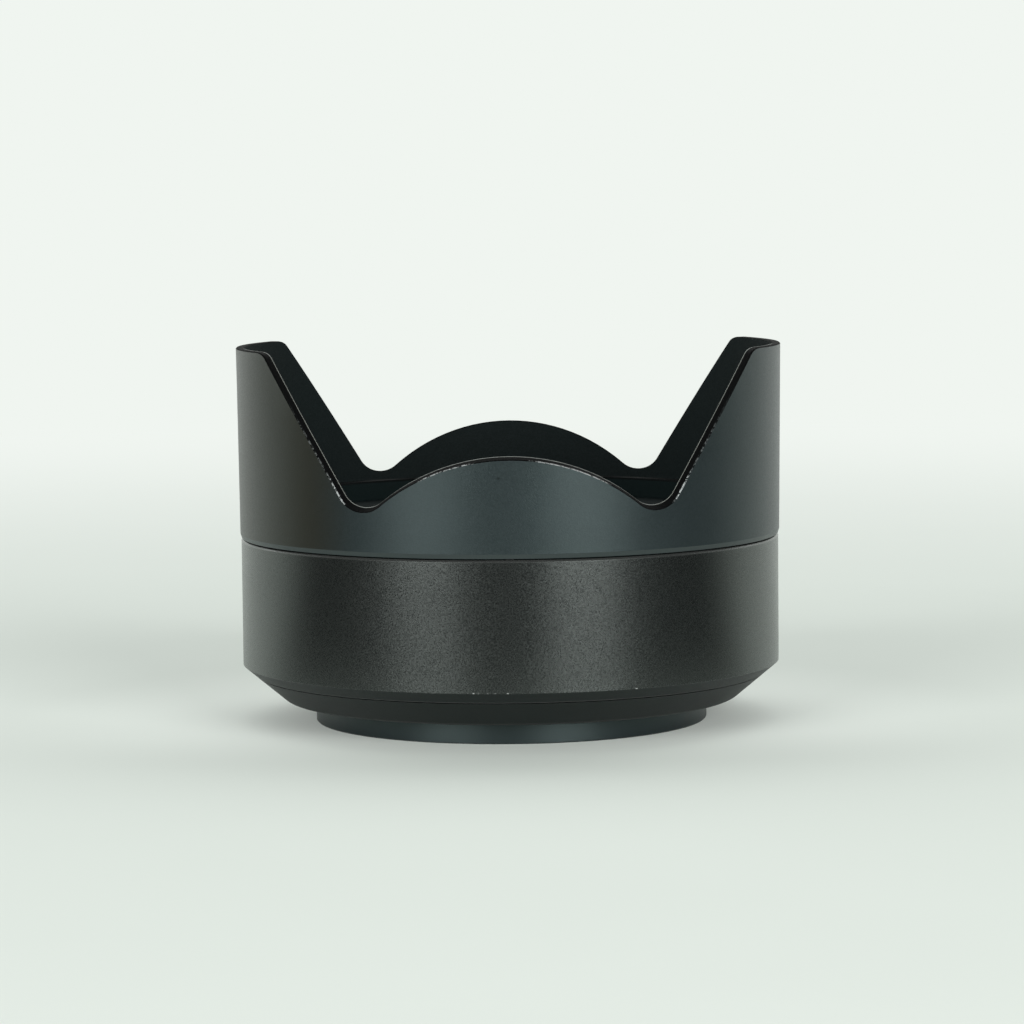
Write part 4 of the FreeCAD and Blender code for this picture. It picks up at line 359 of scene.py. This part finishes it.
hood_grain = (hood.noise(per_mm=6.0, detail=1.0) - 0.5) * 2.0 + 0.5
hood_speck = hood.grains(per_mm=7.0)
hood_tone = hood.noise(per_mm=0.10, detail=3.0)
hood_relief = hood.bump(0.7 * hood_grain + 0.3 * hood_speck, depth_mm=0.004)

chips = hood.noise(per_mm=2.6, detail=3.0, roughness=0.7)
arches = hood.x.near(left_arch_x, reach=6.0) + hood.x.near(right_arch_x, reach=9.0)
worn_arches = (1.6 * arches).least(1.0) * across.rise(14.5, 13.0)
worn_flanks = across.near(worn_flank_x, reach=2.8)
worn_zone = (worn_arches + worn_flanks).least(1.0)
worn_flecks = (worn_zone * (0.05 + 1.5 * chips)).rise(0.55, 0.9)
# Painted sheen: a faint bare grey along the rim's outer edge up the flanks, broken by the chips.
painted_flank_sheen = 0.45 * across.near(sheen_flank_x, reach=4.5) * chips.rise(0.4, 0.6)
rim_edge = rim * skin_depth.rise(0.16, 0.10)
# Real worn flecks and the painted sheen together.
wear_and_sheen = rim_edge * (worn_flecks + painted_flank_sheen).least(1.0)

# Painted reflection: the left flank is tinted brown, as the brown room on that side would show in it.
left_brown_reflection = hood.x.rise(-18.0, -25.0)
# Painted light: the downward chamfer at the foot is painted lighter in front, as bright as the lit face
# above it.
painted_foot_light = hood.z.rise(skin_foot_height + 0.05, skin_foot_height - 0.05) * hood_front
hood_mark = hood.x.near(mark_x, reach=0.3) * hood.z.near(mark_height, reach=0.25) * hood_front
# Painted highlight: a light grey line along the rim's inner edge in front, where light would catch it.
painted_rim_highlight = rim * lining_depth.rise(0.24, 0.14) * hood.y.rise(-4.0, -8.0)
hood_colour = hood.blend(0.5 * hood_tone + 0.5 * hood_speck, paint_dark, paint_light)
for share, paint in [(left_brown_reflection, painted_brown_reflection), (painted_foot_light, foot_light_colour), (hood_mark, paint_mark),
                     (painted_rim_highlight, rim_highlight_grey), (wear_and_sheen, bare_and_sheen_grey)]:
    hood_colour = hood.blend(share, hood_colour, paint)
hood_paint = hood.coat(
    hood_colour,
    roughness=0.30 + 0.12 * hood_grain,
    relief=hood_relief,
    Specular_IOR_Level=0.5,
    Specular_Tint=teal_gloss,
)

flock_colour = hood.blend(hood_speck, flock_dark, flock_light)
hood_flock = hood.coat(
    hood.blend(inside, rim_black, flock_colour),
    roughness=0.65 + 0.2 * hood_grain,
    relief=hood_relief,
    Specular_IOR_Level=0.07,
)
hood_matt = (inside + rim * (1 - painted_rim_highlight) * (1 - wear_and_sheen)).least(1.0)
dress(hood.mixed(hood_paint, hood_matt, hood_flock), "petal_hood")

# Front collar, trim and nose
# Everything inside the hood is matt black against stray light, with fine turned grooves.
# The collar holds the filter thread, the trim is fixed in it, and the nose moves with the glass.
# The rear cell, its retainer and the baffle at the back have the same finish.
# The collar's top rim, deep in the hood, is painted near black as painted shade.
collar_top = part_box("front_collar")[1][2] / MM
collar_top_radius = 29.0
groove_radians_per_mm = 14.0
matt_dark = (0.004, 0.0085, 0.0085)
matt_light = (0.0085, 0.014, 0.014)
# Painted shade for the collar's top rim.
collar_top_shade_black = (0.0022, 0.0036, 0.0036)
matt = Finish("matt_black")
matt_grooves = (matt.radius * groove_radians_per_mm).math("SINE")
matt_dust = matt.noise(per_mm=3.0, detail=3.0, roughness=0.7)
# Painted shade: the collar's top rim is darkened.
collar_top_painted_shade = (
    matt.z.rise(collar_top - 0.3, collar_top - 0.15)
    * matt.radius.rise(collar_top_radius - 0.5, collar_top_radius)
)
matt_colour = matt.blend(matt_dust, matt_dark, matt_light)
matt_black = matt.surface(
    matt.blend(collar_top_painted_shade, matt_colour, collar_top_shade_black),
    roughness=0.70 + 0.2 * matt_dust,
    relief=matt.bump(matt_grooves, depth_mm=0.012),
    Specular_IOR_Level=0.05,
)
dress(matt_black, "front_collar", "trim_ring", "nose_ring", "front_retainer", "cell_spacer",
      "rear_cell", "rear_retainer", "rear_baffle")

# Filter thread
# Three fine ridges inside the collar, where a 58 mm filter screws in.
# They are a part of the collar's aluminium, blackened with it.


def thread_ridges(name, wall, depth, pitch, first, count, segments):
    """Closed rings inside a bore, in millimetres, each drawn in to a narrow crest and back to the wall."""
    flank = (0, 0, pitch * 0.4 * MM)
    crest_width = (0, 0, pitch * 0.15 * MM)
    crest = (wall - depth) / wall
    bpy.ops.object.select_all(action="DESELECT")
    rings = []
    for index in range(count):
        bpy.ops.mesh.primitive_circle_add(
            vertices=segments, radius=wall * MM, fill_type="NOTHING",
            location=(0, 0, (first + index * pitch) * MM),
        )
        ring = bpy.context.object
        bpy.ops.object.transform_apply(location=True)
        bpy.ops.object.mode_set(mode="EDIT")
        bpy.ops.mesh.select_all(action="SELECT")
        bpy.ops.mesh.extrude_region_move(TRANSFORM_OT_translate={"value": flank})
        bpy.ops.transform.resize(value=(crest, crest, 1))
        bpy.ops.mesh.extrude_region_move(TRANSFORM_OT_translate={"value": crest_width})
        bpy.ops.mesh.extrude_region_move(TRANSFORM_OT_translate={"value": flank})
        bpy.ops.transform.resize(value=(1 / crest, 1 / crest, 1))
        bpy.ops.mesh.select_all(action="SELECT")
        bpy.ops.mesh.bridge_edge_loops()
        bpy.ops.object.mode_set(mode="OBJECT")
        rings.append(ring)
    for ring in rings:
        ring.select_set(True)
    bpy.context.view_layer.objects.active = rings[0]
    bpy.ops.object.join()
    piece = bpy.context.object
    piece.name = name
    return piece


filter_ridges = thread_ridges(
    "filter_thread_ridges", wall=28.99, depth=0.4, pitch=0.75, first=26.0, count=3, segments=160,
)
filter_ridges.data.materials.append(matt_black)
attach(filter_ridges, "lens_body")

# Mount thread
# Two ridges of the 42 mm thread inside the base ring, in the same satin black.
# They are turned in the ring itself, and show only from below.
mount_ridges = thread_ridges(
    "mount_thread_ridges", wall=20.99, depth=0.53, pitch=1.0, first=0.35, count=2, segments=140,
)
mount_ridges.data.materials.append(satin.material)
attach(mount_ridges, "lens_body")

# Glass
# Four elements of optical glass in three groups, held in their cells by a spacer and retaining rings.
# Their coating reflects a faint violet.
glass_dusty = (0.93, 0.96, 0.98)
glass_clear = (0.97, 0.98, 1.0)
coating_violet = (0.62, 0.5, 1.0, 1.0)
glass = Finish("coated_glass")
glass_dust = glass.noise(per_mm=1.5, detail=3.0, roughness=0.7)
dress(glass.surface(
    glass.blend(glass_dust, glass_dusty, glass_clear),
    roughness=0.02 + 0.03 * glass_dust,
    Transmission_Weight=1.0,
    IOR=1.62,
    Specular_Tint=coating_violet,
), "front_element", "middle_element", "rear_flint_element", "rear_crown_element")

# Iris
# Six thin blades of blackened spring steel, swung by the ring below them through their tail pins.
# The screws of the mount, the baffle and the collar have the same black finish.
blade_count = 6
blade_dark = (0.020, 0.021, 0.023)
blade_light = (0.045, 0.047, 0.05)
blade = Finish("blackened_steel")
blade_grain = blade.noise(per_mm=4.0, detail=3.0, roughness=0.6)
dress(blade.surface(
    blade.blend(blade_grain, blade_dark, blade_light),
    roughness=0.34 + 0.2 * blade_grain,
    relief=blade.bump(blade_grain, depth_mm=0.002),
    Metallic=0.6,
), "mount_screws", "baffle_screws", "collar_screws",
    *[f"iris_blade_{index + 1}" for index in range(blade_count)])

# Inner metalwork
# The hub, the sliding barrel, the front cell and what holds the iris are turned and anodised black.
# The guide tube is left bare, because its wall is a sliding fit.
turned_dark = (0.008, 0.009, 0.010)
turned_light = (0.018, 0.019, 0.021)
turned = Finish("turned_black_alloy")
turned_lines = turned.noise(per_mm=1.0, place=turned.stretched(around=2.0, along=14.0))
dress(turned.surface(
    turned.blend(turned_lines, turned_dark, turned_light),
    roughness=0.38 + 0.14 * turned_lines,
    relief=turned.bump(turned_lines, depth_mm=0.006),
), "rear_hub", "optical_barrel", "front_cell", "iris_housing", "iris_cover", "iris_ring")

bare_dark = (0.52, 0.53, 0.54)
bare_light = (0.66, 0.67, 0.68)
bare = Finish("bare_alloy")
bare_lines = bare.noise(per_mm=1.0, place=bare.stretched(around=2.0, along=18.0))
dress(bare.surface(
    bare.blend(bare_lines, bare_dark, bare_light),
    roughness=0.28 + 0.16 * bare_lines,
    relief=bare.bump(bare_lines, depth_mm=0.004),
    Metallic=1.0,
), "guide_tube")

# Cam tube and rollers
# The tube turns with the sleeve, and its helical slots drive the three rollers of the optical unit.
# Both are turned brass, greased where the rollers run.
brass_dark = (0.50, 0.34, 0.13)
brass_light = (0.72, 0.52, 0.24)
brass = Finish("turned_brass")
brass_lines = brass.noise(per_mm=1.0, place=brass.stretched(around=2.0, along=16.0))
brass_grease = brass.noise(per_mm=0.25, detail=3.0)
dress(brass.surface(
    brass.blend(brass_grease, brass_dark, brass_light),
    roughness=0.22 + 0.2 * brass_lines,
    relief=brass.bump(brass_lines, depth_mm=0.004),
    Metallic=1.0,
), "cam_tube", "cam_rollers")

# Screws, pins and springs
# Small bright steel parts, lightly oiled, that hold the rings together, stop them and make them click.
# One is the rod that carries the cone's turn to the iris ring.
steel_dark = (0.46, 0.46, 0.45)
steel_light = (0.62, 0.62, 0.61)
steel = Finish("bright_steel")
steel_grain = steel.noise(per_mm=3.0, detail=3.0, roughness=0.6)
dress(steel.surface(
    steel.blend(steel_grain, steel_dark, steel_light),
    roughness=0.2 + 0.18 * steel_grain,
    relief=steel.bump(steel_grain, depth_mm=0.002),
    Metallic=1.0,
), "roller_screws", "cam_tube_screws", "click_ball", "click_spring", "click_screw", "guide_screws",
    "iris_screws", "focus_stop_pin", "hood_click_spring", "hood_stop_pin", "aperture_link")

# Friction washer and felt seal
# A thin cream washer of slippery film between the cam tube and the collar, and a ring of black felt.
# The felt sits in the trim and keeps stray light out of the gap around the nose.
film_dark = (0.66, 0.62, 0.5)
film_light = (0.78, 0.75, 0.64)
film = Finish("slip_film")
film_tone = film.noise(per_mm=0.8, detail=3.0)
dress(film.surface(
    film.blend(film_tone, film_dark, film_light),
    roughness=0.5 + 0.15 * film_tone,
    relief=film.bump(film_tone, depth_mm=0.004),
), "friction_washer")

felt_dark = (0.006, 0.006, 0.007)
felt_light = (0.022, 0.022, 0.023)
felt = Finish("black_felt")
felt_fibres = felt.noise(per_mm=7.0, detail=4.0, roughness=0.75)
dress(felt.surface(
    felt.blend(felt_fibres, felt_dark, felt_light),
    roughness=0.95,
    relief=felt.bump(felt_fibres, depth_mm=0.08),
    Sheen_Weight=0.3,
), "felt_seal")

# Table
# A plain pale sheet that fades into the same pale background, so no horizon shows.
# In the object's gloss it ends a hand's width in front and at the sides, where the room is dark.
# Close to the object the camera sees it glow a little: painted light that lifts the shade around the
# object.
table_radius = 4.0
pale = (0.871, 0.913, 0.871)
paper_dark = (0.67, 0.715, 0.67)
paper_light = (0.69, 0.735, 0.69)
gloss_dark = (0.05, 0.055, 0.055)
painted_light_strength = 0.13
bpy.ops.object.select_all(action="DESELECT")
bpy.ops.mesh.primitive_circle_add(vertices=96, radius=table_radius, fill_type="TRIFAN", location=(0, 0, 0))
table = bpy.context.object
table.name = "table"

paper = Finish("pale_paper")
paper_colour = paper.blend(paper.noise(per_mm=0.02), paper_dark, paper_light)
paper_plain = paper.node("ShaderNodeBsdfDiffuse", (), {"Color": paper_colour})
# Painted light: a faint glow, seen by the camera only, close to the object.
paper_painted_light = paper.node("ShaderNodeEmission", (), {"Color": (*pale, 1.0), "Strength": painted_light_strength})
paper_with_painted_light = paper.node("ShaderNodeAddShader", (), [paper_plain, paper_painted_light])
painted_light_near = paper.radius.rise(68.0, 34.0) * paper.y.rise(-44.0, -14.0) * paper.seen("Camera")
paper_lit = paper.node("ShaderNodeMixShader", (), [painted_light_near, paper_plain, paper_with_painted_light])

paper_pale = paper.node("ShaderNodeEmission", (), {"Color": (*pale, 1.0), "Strength": 1.0})
paper_far = paper.radius.rise(90.0, 560.0) * paper.seen("Camera", "Glossy", "Transmission")
paper_sheet = paper.node("ShaderNodeMixShader", (), [paper_far, paper_lit, paper_pale])

paper_ended = paper.node("ShaderNodeEmission", (), {"Color": (*gloss_dark, 1.0), "Strength": 1.0})
paper_front = (paper.y / paper.radius).rise(0.35, -0.15)
paper_end = paper.radius.rise(40.0, 115.0) * paper_front * paper.seen("Glossy")
paper.finish(paper.node("ShaderNodeMixShader", (), [paper_end, paper_sheet, paper_ended]))
table.data.materials.append(paper.material)

# Room
# The paper behind the object is bright, and the room at its sides and in front of it is dark.
# The walls throw a little light back on everything.
room_left = (0.05, 0.036, 0.025)
room_right = (0.02, 0.03, 0.03)
room_white = (0.93, 0.97, 0.95, 1.0)
room_strength = 0.46
bpy.context.scene.world = bpy.data.worlds.new("room")
room = Shader(bpy.context.scene.world, "ShaderNodeOutputWorld")
toward_x, toward_y = room.parts(room.node("ShaderNodeTexCoord", output="Generated"))[:2]
room_behind = toward_y.rise(0.45, 0.85)
room_sides = room.blend(toward_x.rise(-0.6, 0.6), room_left, room_right)
room_seen = room.blend(room.seen("Camera").most(room_behind), room_sides, pale)
room_light = room.node("ShaderNodeBackground", (), {"Color": room_white, "Strength": room_strength})
room_view = room.node("ShaderNodeBackground", (), {"Color": room_seen, "Strength": 1.0})
room.finish(room.node("ShaderNodeMixShader", (), [
    room.seen("Camera", "Glossy", "Transmission"), room_light, room_view,
]))

# Lamps
# Two soft lamps stand left and right of the camera, as windows do, and a wide one hangs behind the object.
# Sizes and distances are in metres, and angles in degrees.


def soft_lamp(name, azimuth, elevation, width, height, power, distance=1.6):
    """Rectangular lamp that looks at the object. Azimuth 0 is the camera's side."""
    lamp = bpy.data.objects.new(name, bpy.data.lights.new(name, "AREA"))
    lamp.data.shape = "RECTANGLE"
    lamp.data.size = width
    lamp.data.size_y = height
    lamp.data.energy = power
    turn = math.radians(azimuth)
    lift = math.radians(elevation)
    side = Vector((math.sin(turn) * math.cos(lift), -math.cos(turn) * math.cos(lift), math.sin(lift)))
    lamp.location = side * distance
    lamp.rotation_mode = "QUATERNION"
    lamp.rotation_quaternion = side.to_track_quat("Z", "Y")
    bpy.context.scene.collection.objects.link(lamp)


soft_lamp("left_window", azimuth=-36, elevation=15, width=0.85, height=0.75, power=17.0)
soft_lamp("right_window", azimuth=31, elevation=15, width=0.85, height=0.75, power=20.5)
soft_lamp("back_lamp", azimuth=180, elevation=50, width=3.0, height=1.2, power=15.0)
